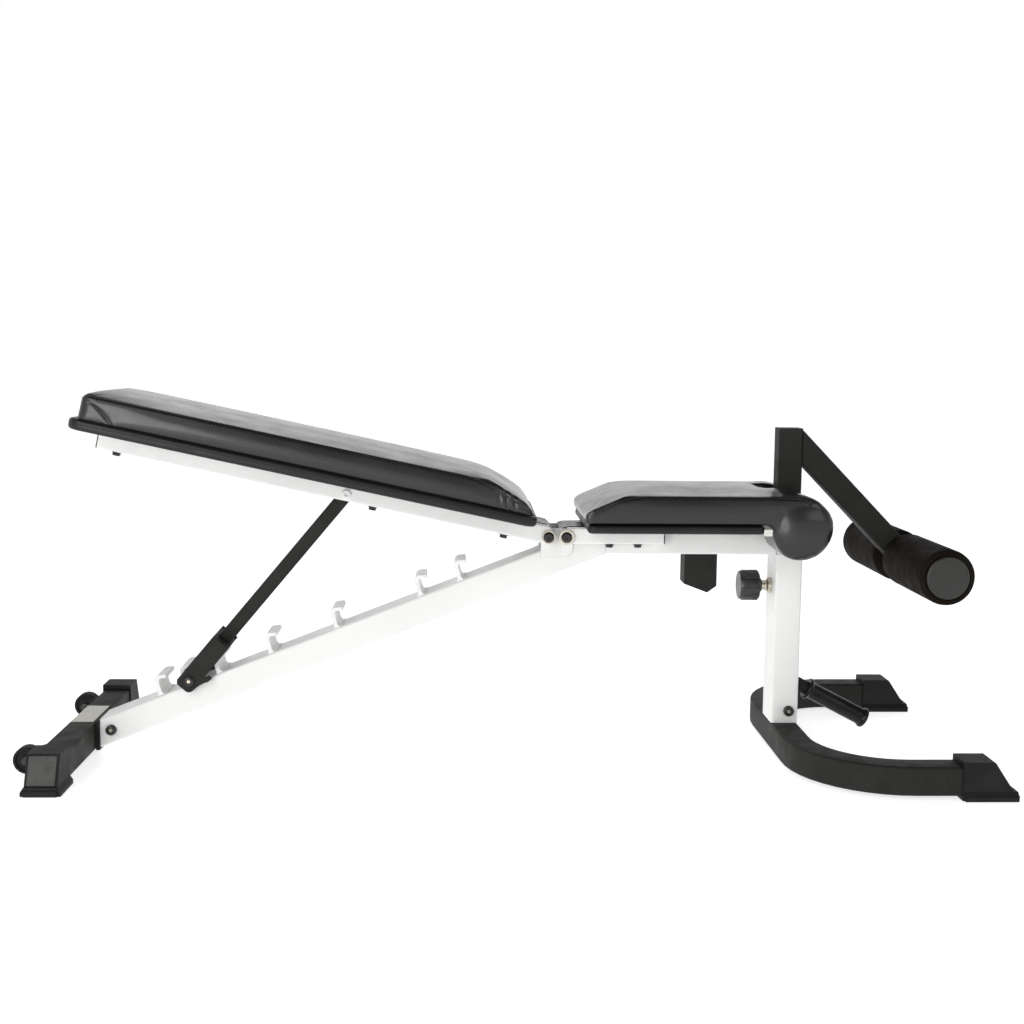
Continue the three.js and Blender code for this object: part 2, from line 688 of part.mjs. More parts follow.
function rollerDisc(side) {
  const y = ROLLER_OUTER_Y + GAP;
  const disc = turned([[0, y], [37.5, y], [37.5, y + 2], [35, y + 4], [0, y + 4.8]], 32);
  return side > 0 ? disc : disc.rotateZ(Math.PI);
}

// ---------------------------------------------------------------- pull pin
// drawn along -X from the post's rear face
function alongMinusX(geometry) {
  return geometry.rotateZ(Math.PI / 2).translate(0, 0, PIN_Z);
}

// flanged nut on the post, with the stem that the knob slides over
function pinHousing() {
  const face = TUBE_H / 2 + GAP;
  return alongMinusX(turned([
    [7.4, face], [14.5, face], [14.5, face + 7], [11.5, face + 9], [STEM_R, face + 9], [STEM_R, STEM_END],
    [ROD_R + GAP, STEM_END], [ROD_R + GAP, STEM_END - 2], [7.4, STEM_END - 2], [7.4, face],
  ], 20));
}

function pinPlunger() {
  const tip = HOLD_SIDE / 2 + 0.7;
  return alongMinusX(turned([[0, tip], [7, tip], [7, 34], [ROD_R, 34], [ROD_R, KNOB_END - 5], [0, KNOB_END - 5]], 14));
}

// compression spring inside the stem, between the plunger's shoulder and the stem's end
function pinSpring() {
  const [start, end] = [35.2, STEM_END - 3];
  const turns = 5;
  const coil = new THREE.Curve();
  coil.getPoint = (t) => {
    const angle = 2 * Math.PI * turns * t;
    return new THREE.Vector3(5.6 * Math.cos(angle), start + (end - start) * t, 5.6 * Math.sin(angle));
  };
  const wire = new THREE.Shape().absarc(0, 0, 0.8, 0, 2 * Math.PI);
  return alongMinusX(new THREE.ExtrudeGeometry(wire, {
    steps: 12 * turns,
    bevelEnabled: false,
    curveSegments: 5,
    extrudePath: coil,
  }));
}

function pinKnob() {
  const start = 44.3;
  const bore = STEM_R + 0.4;
  const knob = turned([
    [bore, start], [12, start], [13, 49], [26, 50], [KNOB_R, 53], [KNOB_R, 81], [26, KNOB_END], [0, KNOB_END],
    [0, KNOB_END - 4.7], [ROD_R + GAP, KNOB_END - 4.7], [ROD_R + GAP, STEM_END + 12], [bore, STEM_END + 12], [bore, start],
  ], 30);
  const flutes = 10;
  const grooves = [];
  for (let i = 0; i < flutes; i += 1) {
    const angle = (i / flutes) * 2 * Math.PI;
    const radius = KNOB_R + 1;
    grooves.push(rod(2.4, 52, 95, 6).translate(radius * Math.cos(angle), 0, radius * Math.sin(angle)));
  }
  return alongMinusX(cut(knob, ...grooves));
}

// ---------------------------------------------------------------- assembly
function addFrame(bench) {
  bench.add(piece('sloping_beam', slopingBeam(), 'white'));
  bench.add(piece('seat_beam', seatBeam(), 'white'));
  bench.add(piece('front_post', frontPost(), 'white'));
  HOOK_X.forEach((x, i) => bench.add(piece(`back_hook_${i + 1}`, hook(x), 'white')));
  for (const [name, side] of nearFar) {
    bench.add(piece(`hinge_bracket_${name}`, hingeBracket(side), 'white'));
  }
  bench.add(piece('back_hinge_bolt', hingeBolt(BACK_PIVOT), 'steel'));
  bench.add(piece('seat_hinge_bolt', hingeBolt(SEAT_PIVOT), 'steel'));
}

function addRearFoot(bench) {
  bench.add(piece('rear_cross_tube', rearCrossTube(), 'black'));
  bench.add(piece('rear_stub', rearStub(), 'black'));
  const bolt = throughBolt(5.2, 10, TUBE_W / 2 + GAP, 5).translate(...rearBoltPlace());
  bench.add(piece('rear_joint_bolt', bolt, 'oxide'));
  for (const [name, side] of nearFar) {
    const cap = piece(`rear_foot_cap_${name}`, footCap(REAR_CAP_RUN), 'rubber');
    cap.position.set(REAR_TUBE_X, side * REAR_TUBE_HALF, 0);
    cap.rotation.z = side * Math.PI / 2;
    bench.add(cap);
    bench.add(piece(`wheel_ear_${name}`, wheelEar(side), 'black'));
    const axle = piece(`wheel_axle_${name}`, wheelAxle(side), 'oxide');
    axle.position.set(WHEEL_X, side * WHEEL_Y, WHEEL_Z);
    const wheel = piece(`transport_wheel_${name}`, transportWheel(), 'rubber');
    wheel.position.copy(axle.position);
    bench.add(axle, wheel);
  }
}

function addFrontFoot(bench) {
  bench.add(piece('front_foot_tube', frontFootTube(), 'black'));
  bench.add(piece('front_stub', frontStub(), 'black'));
  const bolt = throughBolt(5.2, 10, TUBE_W / 2 + GAP, 5).translate(7, 0, 81.7);
  bench.add(piece('front_joint_bolt', bolt, 'oxide'));
  for (const [name, side] of nearFar) {
    const cap = piece(`front_foot_cap_${name}`, footCap(FRONT_CAP_RUN), 'rubber');
    cap.position.set(LEG_END_X, side * LEG_Y, 0);
    bench.add(cap);
  }
  bench.add(piece('lift_handle_bar', handleBar(), 'black'));
  bench.add(piece('lift_handle_grip', handleGrip(), 'rubber'));
}

function addBack(bench) {
  const back = new THREE.Group();
  back.position.set(BACK_PIVOT[0], 0, BACK_PIVOT[1]);
  back.rotation.y = BACK_ANGLE;
  for (const [name, side] of nearFar) {
    back.add(piece(`back_rail_${name}`, backRail(side), 'white'));
  }
  back.add(piece('back_board', backBoard(), 'board'));
  back.add(piece('back_pad', backPad(), 'vinyl'));
  back.add(piece('back_hinge_cover', hingeCover(-1, 70, RAIL_HIGH), 'black'));
  const bolt = piece('strut_pivot_bolt', strutPivotBolt(), 'steel');
  bolt.position.x = -STRUT_PIVOT_U;
  back.add(bolt);
  bench.add(back);
}

function addStrut(bench) {
  const top = [
    BACK_PIVOT[0] - STRUT_PIVOT_U * Math.cos(BACK_ANGLE),
    BACK_PIVOT[1] + STRUT_PIVOT_U * Math.sin(BACK_ANGLE),
  ];
  const foot = onBeam(HOOK_X[REST_HOOK], ...PIN_IN_HOOK);
  const length = Math.hypot(top[0] - foot[0], top[1] - foot[1]);
  const strut = new THREE.Group();
  strut.position.set(top[0], 0, top[1]);
  strut.rotation.y = -Math.atan2(top[1] - foot[1], top[0] - foot[0]);
  strut.add(piece('strut_bar', strutBar(length), 'black'));
  strut.add(piece('strut_yoke', strutYoke(length), 'black'));
  const pin = piece('strut_pin', strutPin(), 'oxide');
  pin.position.x = -length;
  strut.add(pin);
  bench.add(strut);
}

function addSeat(bench) {
  for (const [name, side] of nearFar) {
    bench.add(piece(`seat_rail_${name}`, seatRail(side), 'white'));
  }
  bench.add(piece('seat_board', seatBoard(), 'board'));
  bench.add(piece('seat_pad', seatPad(), 'vinyl'));
  bench.add(piece('seat_prop', seatProp(), 'black'));
  const cover = hingeCover(1, 55, SEAT_RAIL_TOP - SEAT_PIVOT[1]);
  bench.add(piece('seat_hinge_cover', cover.translate(SEAT_PIVOT[0], 0, SEAT_PIVOT[1]), 'black'));
}

function addHoldDown(bench) {
  bench.add(piece('hold_down_tube', holdDownTube(), 'black'));
  bench.add(piece('hold_down_arm', holdDownArm(), 'black'));
  const [ax, az] = ROLLER_AXIS;
  bench.add(piece('roller_axle', rod(AXLE_R, -ROLLER_OUTER_Y, ROLLER_OUTER_Y, 20).translate(ax, 0, az), 'steel'));
  for (const [name, side] of nearFar) {
    bench.add(piece(`foam_roller_${name}`, footRoller(side).translate(ax, 0, az), 'foam'));
    bench.add(piece(`roller_disc_${name}`, rollerDisc(side).translate(ax, 0, az), 'plastic'));
    const inner = HOLD_SIDE / 2 + GAP;
    const outer = TUBE_W / 2 - TUBE_WALL - GAP;
    const bush = box(-19, 19, Math.min(side * inner, side * outer), Math.max(side * inner, side * outer), 392, 430);
    bench.add(piece(`guide_bush_${name}`, bush, 'plastic'));
  }
}

function addPullPin(bench) {
  bench.add(piece('pin_housing', pinHousing(), 'steel'));
  bench.add(piece('pin_plunger', pinPlunger(), 'steel'));
  bench.add(piece('pin_spring', pinSpring(), 'steel'));
  bench.add(piece('pin_knob', pinKnob(), 'rubber'));
}

function buildBench() {
  const bench = new THREE.Group();
  addFrame(bench);
  addRearFoot(bench);
  addFrontFoot(bench);
  addBack(bench);
  addStrut(bench);
  addSeat(bench);
  addHoldDown(bench);
  addPullPin(bench);
  const rear = WHEEL_X - WHEEL_R;
  const front = LEG_END_X + CAP_FLAT + FRONT_CAP_RUN;
  bench.position.x = -(rear + front) / 2;
  return bench;
}

export default buildBench();
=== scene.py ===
"""Looks of the adjustable weight bench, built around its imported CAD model.

Metres, +Z up, +X to the front. Helper points are written in millimetres from the front
post's centre plane (post) or along and above the back rest from its pivot (on_back).
"""

import json
import math

import bmesh
import bpy
import numpy as np
from mathutils import Matrix, Vector, kdtree, noise
from mathutils.bvhtree import BVHTree


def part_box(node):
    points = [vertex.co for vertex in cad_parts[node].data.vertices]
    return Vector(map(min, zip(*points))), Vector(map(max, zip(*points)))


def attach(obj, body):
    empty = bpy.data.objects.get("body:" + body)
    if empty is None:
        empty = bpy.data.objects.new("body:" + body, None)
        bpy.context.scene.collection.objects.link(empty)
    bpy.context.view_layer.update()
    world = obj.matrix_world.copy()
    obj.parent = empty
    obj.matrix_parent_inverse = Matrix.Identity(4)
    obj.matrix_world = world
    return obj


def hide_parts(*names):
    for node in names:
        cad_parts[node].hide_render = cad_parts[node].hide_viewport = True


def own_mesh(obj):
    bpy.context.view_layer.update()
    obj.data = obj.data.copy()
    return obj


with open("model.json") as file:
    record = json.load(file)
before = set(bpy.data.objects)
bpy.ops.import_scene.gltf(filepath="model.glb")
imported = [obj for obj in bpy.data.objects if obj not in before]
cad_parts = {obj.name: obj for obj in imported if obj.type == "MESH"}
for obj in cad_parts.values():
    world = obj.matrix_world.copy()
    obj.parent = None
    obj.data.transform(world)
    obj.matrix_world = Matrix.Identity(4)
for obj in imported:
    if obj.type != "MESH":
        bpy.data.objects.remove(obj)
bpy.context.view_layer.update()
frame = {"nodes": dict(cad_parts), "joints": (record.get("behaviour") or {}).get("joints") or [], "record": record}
nodes = frame["nodes"]
joints = {j["name"]: j for j in frame["joints"]}

BACK_PIVOT = Vector(joints["back_tilt"]["pos_m"])
SEAT_PIVOT = Vector(joints["seat_tilt"]["pos_m"])
POST_X = (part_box("front_post")[0].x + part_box("front_post")[1].x) / 2
BACK_ANGLE = math.radians(11.8)
SLOPE = math.radians(21.47)


def post(x, y, z):
    """A point in millimetres from the front post's centre plane, as a model point."""
    return Vector((x / 1000 + POST_X, y / 1000, z / 1000))


def on_back(u, y, v):
    """A point on the tilted back rest: u along it from the pivot, v above it, millimetres."""
    c, s = math.cos(BACK_ANGLE), math.sin(BACK_ANGLE)
    return BACK_PIVOT + Vector((u * c + v * s, y, v * c - u * s)) / 1000


SEAM_WIDTH = 0.0028
SEAM_DEPTH = 0.0014
SWELL_FRAMES = 20
RAIL_Y = 54.5  # the pad rails' centre planes, millimetres

BACK_ALONG = (on_back(1000, 0, 0) - on_back(0, 0, 0)).normalized()
BACK_UP = (on_back(0, 0, 1000) - on_back(0, 0, 0)).normalized()


# ---------------------------------------------------------------- materials
class Material:
    """A Principled material with helpers that chain procedural nodes onto it."""

    def __init__(self, name, colour, roughness, metallic=0.0, **inputs):
        self.mat = bpy.data.materials.new(name)
        self.mat.use_nodes = True
        self.tree = self.mat.node_tree
        self.shader = self.tree.nodes["Principled BSDF"]
        self.colour = colour
        self.shader.inputs["Base Color"].default_value = (*colour, 1)
        self.shader.inputs["Roughness"].default_value = roughness
        self.shader.inputs["Metallic"].default_value = metallic
        for key, value in inputs.items():
            self.shader.inputs[key.replace("_", " ")].default_value = value
        self.place = self.tree.nodes.new("ShaderNodeTexCoord").outputs["Object"]
        self.normal = None

    def node(self, kind, links=(), **values):
        made = self.tree.nodes.new(kind)
        for key, value in values.items():
            setattr(made, key, value)
        for socket, source in links:
            if isinstance(source, bpy.types.NodeSocket):
                self.tree.links.new(source, made.inputs[socket])
            else:
                made.inputs[socket].default_value = source
        return made

    def noise(self, scale, detail=3, stretch=None):
        where = self.place
        if stretch:
            where = self.node(
                "ShaderNodeMapping", [("Vector", self.place), ("Scale", stretch)]
            ).outputs["Vector"]
        return self.node(
            "ShaderNodeTexNoise",
            [("Vector", where), ("Scale", scale), ("Detail", detail)],
        ).outputs["Fac"]

    def cells(self, scale):
        bent = self.node(
            "ShaderNodeTexNoise",
            [("Vector", self.place), ("Scale", scale * 0.4), ("Detail", 2)],
        ).outputs["Color"]
        where = self.node(
            "ShaderNodeMix",
            [("Factor", 0.0025), (4, self.place), (5, bent)],
            data_type="VECTOR",
        ).outputs[1]
        return self.node(
            "ShaderNodeTexVoronoi",
            [("Vector", where), ("Scale", scale)],
            feature="DISTANCE_TO_EDGE",
        ).outputs["Distance"]

    def ramp(self, factor, low, high, start=0.35, end=0.65):
        return self.node(
            "ShaderNodeMapRange",
            [("Value", factor), (1, start), (2, end), (3, low), (4, high)],
        ).outputs["Result"]

    def vary(self, factor, other, start=0.35, end=0.65):
        """Base colour runs from the material's own to other as factor rises."""
        share = self.ramp(factor, 0.0, 1.0, start, end)
        mixed = self.node("ShaderNodeMix", [("Factor", share)], data_type="RGBA")
        current = self.shader.inputs["Base Color"]
        if current.is_linked:
            self.tree.links.new(current.links[0].from_socket, mixed.inputs[6])
        else:
            mixed.inputs[6].default_value = (*self.colour, 1)
        mixed.inputs[7].default_value = (*other, 1)
        self.tree.links.new(mixed.outputs[2], current)
        return self

    def rough(self, factor, low, high):
        self.tree.links.new(
            self.ramp(factor, low, high), self.shader.inputs["Roughness"]
        )
        return self

    def bump(self, height, strength, depth):
        links = [("Height", height), ("Strength", strength), ("Distance", depth)]
        if self.normal:
            links.append(("Normal", self.normal))
        self.normal = self.node("ShaderNodeBump", links).outputs["Normal"]
        self.tree.links.new(self.normal, self.shader.inputs["Normal"])
        return self

    def edges(self, radius):
        """Rounds hard edges in the shading, as paint or a mould does."""
        self.normal = self.node(
            "ShaderNodeBevel", [("Radius", radius)], samples=6
        ).outputs["Normal"]
        self.tree.links.new(self.normal, self.shader.inputs["Normal"])
        return self

    def worn_edges(self, colour, radius, amount):
        """Edges run to another colour, where the finish rubs thin."""
        soft = self.node("ShaderNodeBevel", [("Radius", radius)], samples=6).outputs[
            "Normal"
        ]
        flat = self.node("ShaderNodeNewGeometry").outputs["Normal"]
        dot = self.node(
            "ShaderNodeVectorMath", [(0, soft), (1, flat)], operation="DOT_PRODUCT"
        ).outputs["Value"]
        patch = self.ramp(self.noise(120, 4), 0.0, 1.0, 0.45, 0.6)
        edge = self.ramp(dot, amount, 0.0, 0.86, 0.97)
        share = self.node(
            "ShaderNodeMath", [(0, patch), (1, edge)], operation="MULTIPLY"
        ).outputs["Value"]
        return self.vary(share, colour, 0.0, 1.0)


def make_materials():
    made = {}

    white = Material("white_powder_coat", (0.81, 0.81, 0.8), 0.36)
    white.edges(0.0016).vary(white.noise(5, 4), (0.765, 0.765, 0.755))
    white.rough(white.noise(40, 3), 0.3, 0.42)
    made["white"] = white.bump(white.noise(750, 2), 0.10, 0.0004)

    black = Material(
        "black_powder_coat", (0.0085, 0.0085, 0.0073), 0.65, Specular_IOR_Level=0.24
    )
    black.edges(0.0014)
    black.vary(black.noise(1300, 2), (0.026, 0.026, 0.022), 0.46, 0.66)
    black.vary(black.noise(9, 4), (0.013, 0.013, 0.0112))
    black.worn_edges((0.075, 0.072, 0.064), 0.0012, 0.4)
    black.rough(black.noise(30, 3), 0.58, 0.7)
    made["black"] = black.bump(black.noise(1100, 3), 0.55, 0.0005)

    vinyl = Material(
        "black_vinyl",
        (0.0052, 0.0052, 0.0047),
        0.3,
        Specular_IOR_Level=0.42,
        Coat_Weight=0.28,
        Coat_Roughness=0.1,
    )
    vinyl.vary(vinyl.noise(7, 4), (0.008, 0.008, 0.007))
    vinyl.rough(vinyl.noise(22, 5), 0.25, 0.36)
    vinyl.bump(vinyl.noise(14, 3, (1.0, 1.6, 1.6)), 0.12, 0.002)
    vinyl.bump(vinyl.noise(70, 4, (1.0, 1.0, 0.6)), 0.12, 0.0006)
    made["vinyl"] = vinyl.bump(vinyl.cells(560), 0.1, 0.0004)

    wrap = Material(
        "board_wrap", (0.005, 0.0047, 0.0045), 0.38, Specular_IOR_Level=0.35
    )
    wrap.vary(wrap.noise(18, 4), (0.008, 0.0072, 0.007))
    wrap.rough(wrap.noise(30, 4), 0.36, 0.5)
    wrap.bump(wrap.noise(60, 4), 0.15, 0.0008)
    made["wrap"] = wrap.bump(wrap.cells(560), 0.2, 0.0004)

    thread = Material("stitching", (0.03, 0.03, 0.028), 0.6)
    made["thread"] = thread.bump(thread.noise(2500, 2), 0.5, 0.0002)

    foam = Material(
        "roller_foam", (0.0062, 0.0038, 0.0024), 0.88, Specular_IOR_Level=0.08
    )
    foam.vary(foam.noise(12, 5), (0.0092, 0.0066, 0.005))
    foam.vary(foam.noise(900, 2), (0.0035, 0.0026, 0.002), 0.5, 0.7)
    foam.rough(foam.noise(30, 4), 0.68, 0.88)
    foam.bump(foam.noise(35, 4), 0.3, 0.002)
    made["foam"] = foam.bump(foam.noise(900, 3), 0.6, 0.0005)

    rubber = Material(
        "moulded_rubber", (0.006, 0.006, 0.006), 0.5, Specular_IOR_Level=0.22
    )
    rubber.edges(0.0022).vary(rubber.noise(25, 4), (0.0125, 0.0125, 0.012))
    rubber.rough(rubber.noise(50, 4), 0.58, 0.66)
    made["rubber"] = rubber.bump(rubber.noise(1400, 2), 0.3, 0.0003)

    grip = Material("handle_grip", (0.0045, 0.0045, 0.0042), 0.3, Specular_IOR_Level=0.25)
    grip.edges(0.001).vary(grip.noise(30, 4), (0.007, 0.007, 0.0065))
    made["grip"] = grip.rough(grip.noise(80, 4), 0.24, 0.36)

    plate = Material("smooth_plate", (0.034, 0.036, 0.03), 0.3, Specular_IOR_Level=0.4)
    plate.edges(0.0015).vary(plate.noise(40, 5), (0.026, 0.028, 0.023))
    plate.rough(plate.noise(60, 4), 0.24, 0.4)
    made["plate"] = plate.bump(plate.noise(500, 3), 0.12, 0.0003)

    plastic = Material(
        "grained_plastic", (0.024, 0.0255, 0.022), 0.36, Specular_IOR_Level=0.4
    )
    plastic.edges(0.001).vary(plastic.noise(20, 4), (0.018, 0.0195, 0.017))
    plastic.rough(plastic.noise(70, 4), 0.3, 0.44)
    made["plastic"] = plastic.bump(plastic.noise(1200, 2), 0.25, 0.0003)

    knob = Material("knob_plastic", (0.012, 0.012, 0.012), 0.32)
    knob.edges(0.0012).vary(knob.noise(60, 3), (0.02, 0.02, 0.02))
    made["knob"] = knob.rough(knob.noise(90, 3), 0.26, 0.38)

    zinc = Material("zinc_plate", (0.72, 0.68, 0.58), 0.3, 1.0)
    zinc.edges(0.0006).vary(zinc.noise(160, 4), (0.55, 0.5, 0.4))
    made["zinc"] = zinc.rough(zinc.noise(300, 3), 0.22, 0.42)

    washer = Material("cream_washer", (0.7, 0.66, 0.56), 0.35, 0.3)
    washer.edges(0.0006).vary(washer.noise(140, 4), (0.6, 0.55, 0.45))
    made["washer"] = washer.rough(washer.noise(240, 3), 0.28, 0.44)

    oxide = Material("black_oxide", (0.03, 0.03, 0.031), 0.32, 0.7)
    oxide.edges(0.0006).vary(oxide.noise(200, 4), (0.055, 0.052, 0.05))
    made["oxide"] = oxide.rough(oxide.noise(260, 3), 0.26, 0.42)

    paper = Material("blank_sticker", (0.66, 0.64, 0.58), 0.42)
    paper.vary(paper.noise(55, 4), (0.58, 0.56, 0.5))
    made["paper"] = paper.rough(paper.noise(120, 3), 0.34, 0.5)

    tag = Material("woven_tag", (0.75, 0.74, 0.7), 0.7)
    tag.vary(tag.noise(300, 3), (0.6, 0.59, 0.55))
    made["tag"] = tag.bump(
        tag.noise(1500, 2, (1.0, 1.0, 4.0)), 0.5, 0.0003
    )
    return {key: value.mat for key, value in made.items()}


MAT = make_materials()
NODE_LOOKS = {
    "white_frame": "white",
    "black_frame": "black",
    "vinyl": "vinyl",
    "wrapped_board": "wrap",
    "foam": "foam",
    "black_rubber": "rubber",
    "moulded_plastic": "plastic",
    "bright_steel": "zinc",
    "black_fastener": "oxide",
}
OWN_LOOKS = {
    "lift_handle_grip": "grip",
    "pin_knob": "knob",
    "strut_pivot_bolt": "white",
    "back_hinge_bolt": "oxide",
    "seat_hinge_bolt": "oxide",
    "back_hinge_cover": "grip",
    "seat_hinge_cover": "grip",
}


def smooth_by_angle():
    """Geometry nodes that weld split vertices and smooth every edge under 32 degrees."""
    group = bpy.data.node_groups.new("smooth_by_angle", "GeometryNodeTree")
    group.interface.new_socket("Mesh", in_out="INPUT", socket_type="NodeSocketGeometry")
    group.interface.new_socket(
        "Mesh", in_out="OUTPUT", socket_type="NodeSocketGeometry"
    )
    add = group.nodes.new
    start, end = add("NodeGroupInput"), add("NodeGroupOutput")
    weld = add("GeometryNodeMergeByDistance")
    weld.inputs["Distance"].default_value = 1e-5
    faces = add("GeometryNodeSetShadeSmooth")
    edges = add("GeometryNodeSetShadeSmooth")
    edges.domain = "EDGE"
    edges.inputs["Shade Smooth"].default_value = False
    angle = add("GeometryNodeInputMeshEdgeAngle")
    sharp = add("ShaderNodeMath")
    sharp.operation = "GREATER_THAN"
    sharp.inputs[1].default_value = math.radians(32)
    link = group.links.new
    link(start.outputs[0], weld.inputs["Geometry"])
    link(weld.outputs["Geometry"], faces.inputs["Geometry"])
    link(faces.outputs["Geometry"], edges.inputs["Geometry"])
    link(angle.outputs["Unsigned Angle"], sharp.inputs[0])
    link(sharp.outputs[0], edges.inputs["Selection"])
    link(edges.outputs["Geometry"], end.inputs[0])
    return group


def dress_cad_nodes():
    group = smooth_by_angle()
    slots = {s["node"]: s["material_slot"] for s in frame["record"]["subparts"]}
    for name, obj in nodes.items():
        look = OWN_LOOKS.get(name, NODE_LOOKS[slots[name]])
        obj.data.materials.clear()
        obj.data.materials.append(MAT[look])
        obj.modifiers.new("smooth", "NODES").node_group = group


# ---------------------------------------------------------------- building blocks
def mesh_object(name, verts, faces, look, body, slot):
    mesh = bpy.data.meshes.new(name)
    mesh.from_pydata([tuple(v) for v in verts], [], faces)
    mesh.update()
    obj = bpy.data.objects.new(name, mesh)
    bpy.context.scene.collection.objects.link(obj)
    mesh.materials.append(MAT[look])
    mesh.shade_smooth()
    mesh.set_sharp_from_angle(angle=math.radians(35))
    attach(obj, body)
    return obj


def across(direction):
    """Two unit vectors square to direction."""
    other = Vector((0, 0, 1)) if abs(direction.z) < 0.9 else Vector((1, 0, 0))
    a = direction.cross(other).normalized()
    return a, direction.cross(a).normalized()


def lathe(profile, origin, direction, segments=40):
    """Vertices and faces of (radius, height) pairs in millimetres turned round direction."""
    a, b = across(direction)
    verts, faces = [], []
    for r, h in profile:
        for i in range(segments):
            t = 2 * math.pi * i / segments
            verts.append(
                origin
                + direction * (h / 1000)
                + (a * math.cos(t) + b * math.sin(t)) * (r / 1000)
            )
    rows = len(profile)
    for k in range(rows - 1):
        for i in range(segments):
            j = (i + 1) % segments
            faces.append(
                (
                    k * segments + i,
                    k * segments + j,
                    (k + 1) * segments + j,
                    (k + 1) * segments + i,
                )
            )
    faces.append(tuple(reversed(range(segments))))
    faces.append(tuple((rows - 1) * segments + i for i in range(segments)))
    return verts, faces


def hollow_lathe(profile, origin, direction, segments):
    """As lathe, with the profile's last point joined back to its first, round an open bore."""
    verts, faces = lathe(profile, origin, direction, segments)
    last = len(verts) - segments
    faces = faces[:-2]
    for i in range(segments):
        j = (i + 1) % segments
        faces.append((i, j, last + j, last + i))
    return verts, faces


def tube(points, radius, sides=8, closed=False, wobble=0.0):
    """Vertices and faces of a round tube along points, in metres; radius may vary a little."""
    verts, faces = [], []
    count = len(points)
    up = None
    for i, p in enumerate(points):
        before = points[(i - 1) % count] if closed or i > 0 else p
        after = points[(i + 1) % count] if closed or i < count - 1 else p
        along = (after - before).normalized()
        if up is None:
            up = across(along)[0]
        up = (up - along * up.dot(along)).normalized()
        side = along.cross(up)
        r = radius * (1 + wobble * noise.noise(p * 260))
        for k in range(sides):
            t = 2 * math.pi * k / sides
            verts.append(p + (up * math.cos(t) + side * math.sin(t)) * r)
    last = count if closed else count - 1
    for i in range(last):
        n = (i + 1) % count
        for k in range(sides):
            m = (k + 1) % sides
            faces.append(
                (i * sides + k, i * sides + m, n * sides + m, n * sides + k)
            )
    if not closed:
        faces.append(tuple(reversed(range(sides))))
        faces.append(tuple((count - 1) * sides + k for k in range(sides)))
    return verts, faces


def joined(parts):
    """Several (verts, faces) lists as one."""
    verts, faces = [], []
    for v, f in parts:
        base = len(verts)
        verts += v
        faces += [tuple(i + base for i in face) for face in f]
    return verts, faces


def resample(points, step):
    """Points along a polyline, evenly spaced by about step metres."""
    lengths = [0.0]
    for a, b in zip(points, points[1:]):
        lengths.append(lengths[-1] + (b - a).length)
    count = max(2, round(lengths[-1] / step) + 1)
    out, k = [], 0
    for i in range(count):
        s = lengths[-1] * i / (count - 1)
        while k < len(points) - 2 and lengths[k + 1] < s:
            k += 1
        span = lengths[k + 1] - lengths[k]
        t = (s - lengths[k]) / span if span > 0 else 0
        out.append(points[k].lerp(points[k + 1], min(max(t, 0), 1)))
    return out


def rounded_block(low, high, radius, place, segments=3):
    """A box between two corners, in millimetres, with rounded edges, sent through place."""
    made = bmesh.new()
    bmesh.ops.create_cube(made, size=1.0)
    for v in made.verts:
        v.co = Vector(
            (low[i] + high[i]) / 2 + v.co[i] * (high[i] - low[i]) for i in range(3)
        )
    bmesh.ops.bevel(
        made, geom=made.edges[:], offset=radius, segments=segments, affect="EDGES"
    )
    verts = [place(*v.co) for v in made.verts]
    faces = [tuple(v.index for v in f.verts) for f in made.faces]
    made.free()
    return verts, faces


# ---------------------------------------------------------------- padded pieces
def points_of(mesh):
    """Vertex positions and normals as arrays."""
    co = np.empty(len(mesh.vertices) * 3, np.float32)
    mesh.vertices.foreach_get("co", co)
    normals = np.empty(len(mesh.vertices) * 3, np.float32)
    mesh.vertex_normals.foreach_get("vector", normals)
    return co.reshape(-1, 3), normals.reshape(-1, 3)


def move_points(mesh, co):
    mesh.vertices.foreach_set("co", co.astype(np.float32).ravel())
    mesh.update()


def swell(obj, pinned, cap):
    """Blows the mesh up like stuffed vinyl, by at most cap, holding the pinned vertices."""
    pins = obj.vertex_groups.new(name="pins")
    pins.add([int(i) for i in np.flatnonzero(pinned)], 1.0, "REPLACE")
    cloth = obj.modifiers.new("cloth", "CLOTH")
    settings = cloth.settings
    settings.quality = 5
    settings.mass = 0.35
    settings.tension_stiffness = 25
    settings.compression_stiffness = 25
    settings.shear_stiffness = 10
    settings.bending_stiffness = 2
    settings.use_pressure = True
    settings.uniform_pressure_force = 4.0
    settings.vertex_group_mass = "pins"
    settings.effector_weights.gravity = 0
    cloth.collision_settings.use_collision = False
    cloth.collision_settings.use_self_collision = False
    scene = bpy.context.scene
    for f in range(1, SWELL_FRAMES + 1):
        scene.frame_set(f)
    graph = bpy.context.evaluated_depsgraph_get()
    swollen, _ = points_of(obj.evaluated_get(graph).data)
    obj.modifiers.remove(cloth)
    scene.frame_set(1)
    rest, _ = points_of(obj.data)
    move = swollen - rest
    length = np.linalg.norm(move, axis=1, keepdims=True)
    move *= np.minimum(1, cap / np.maximum(length, 1e-9))
    move_points(obj.data, rest + move)
    obj.vertex_groups.clear()


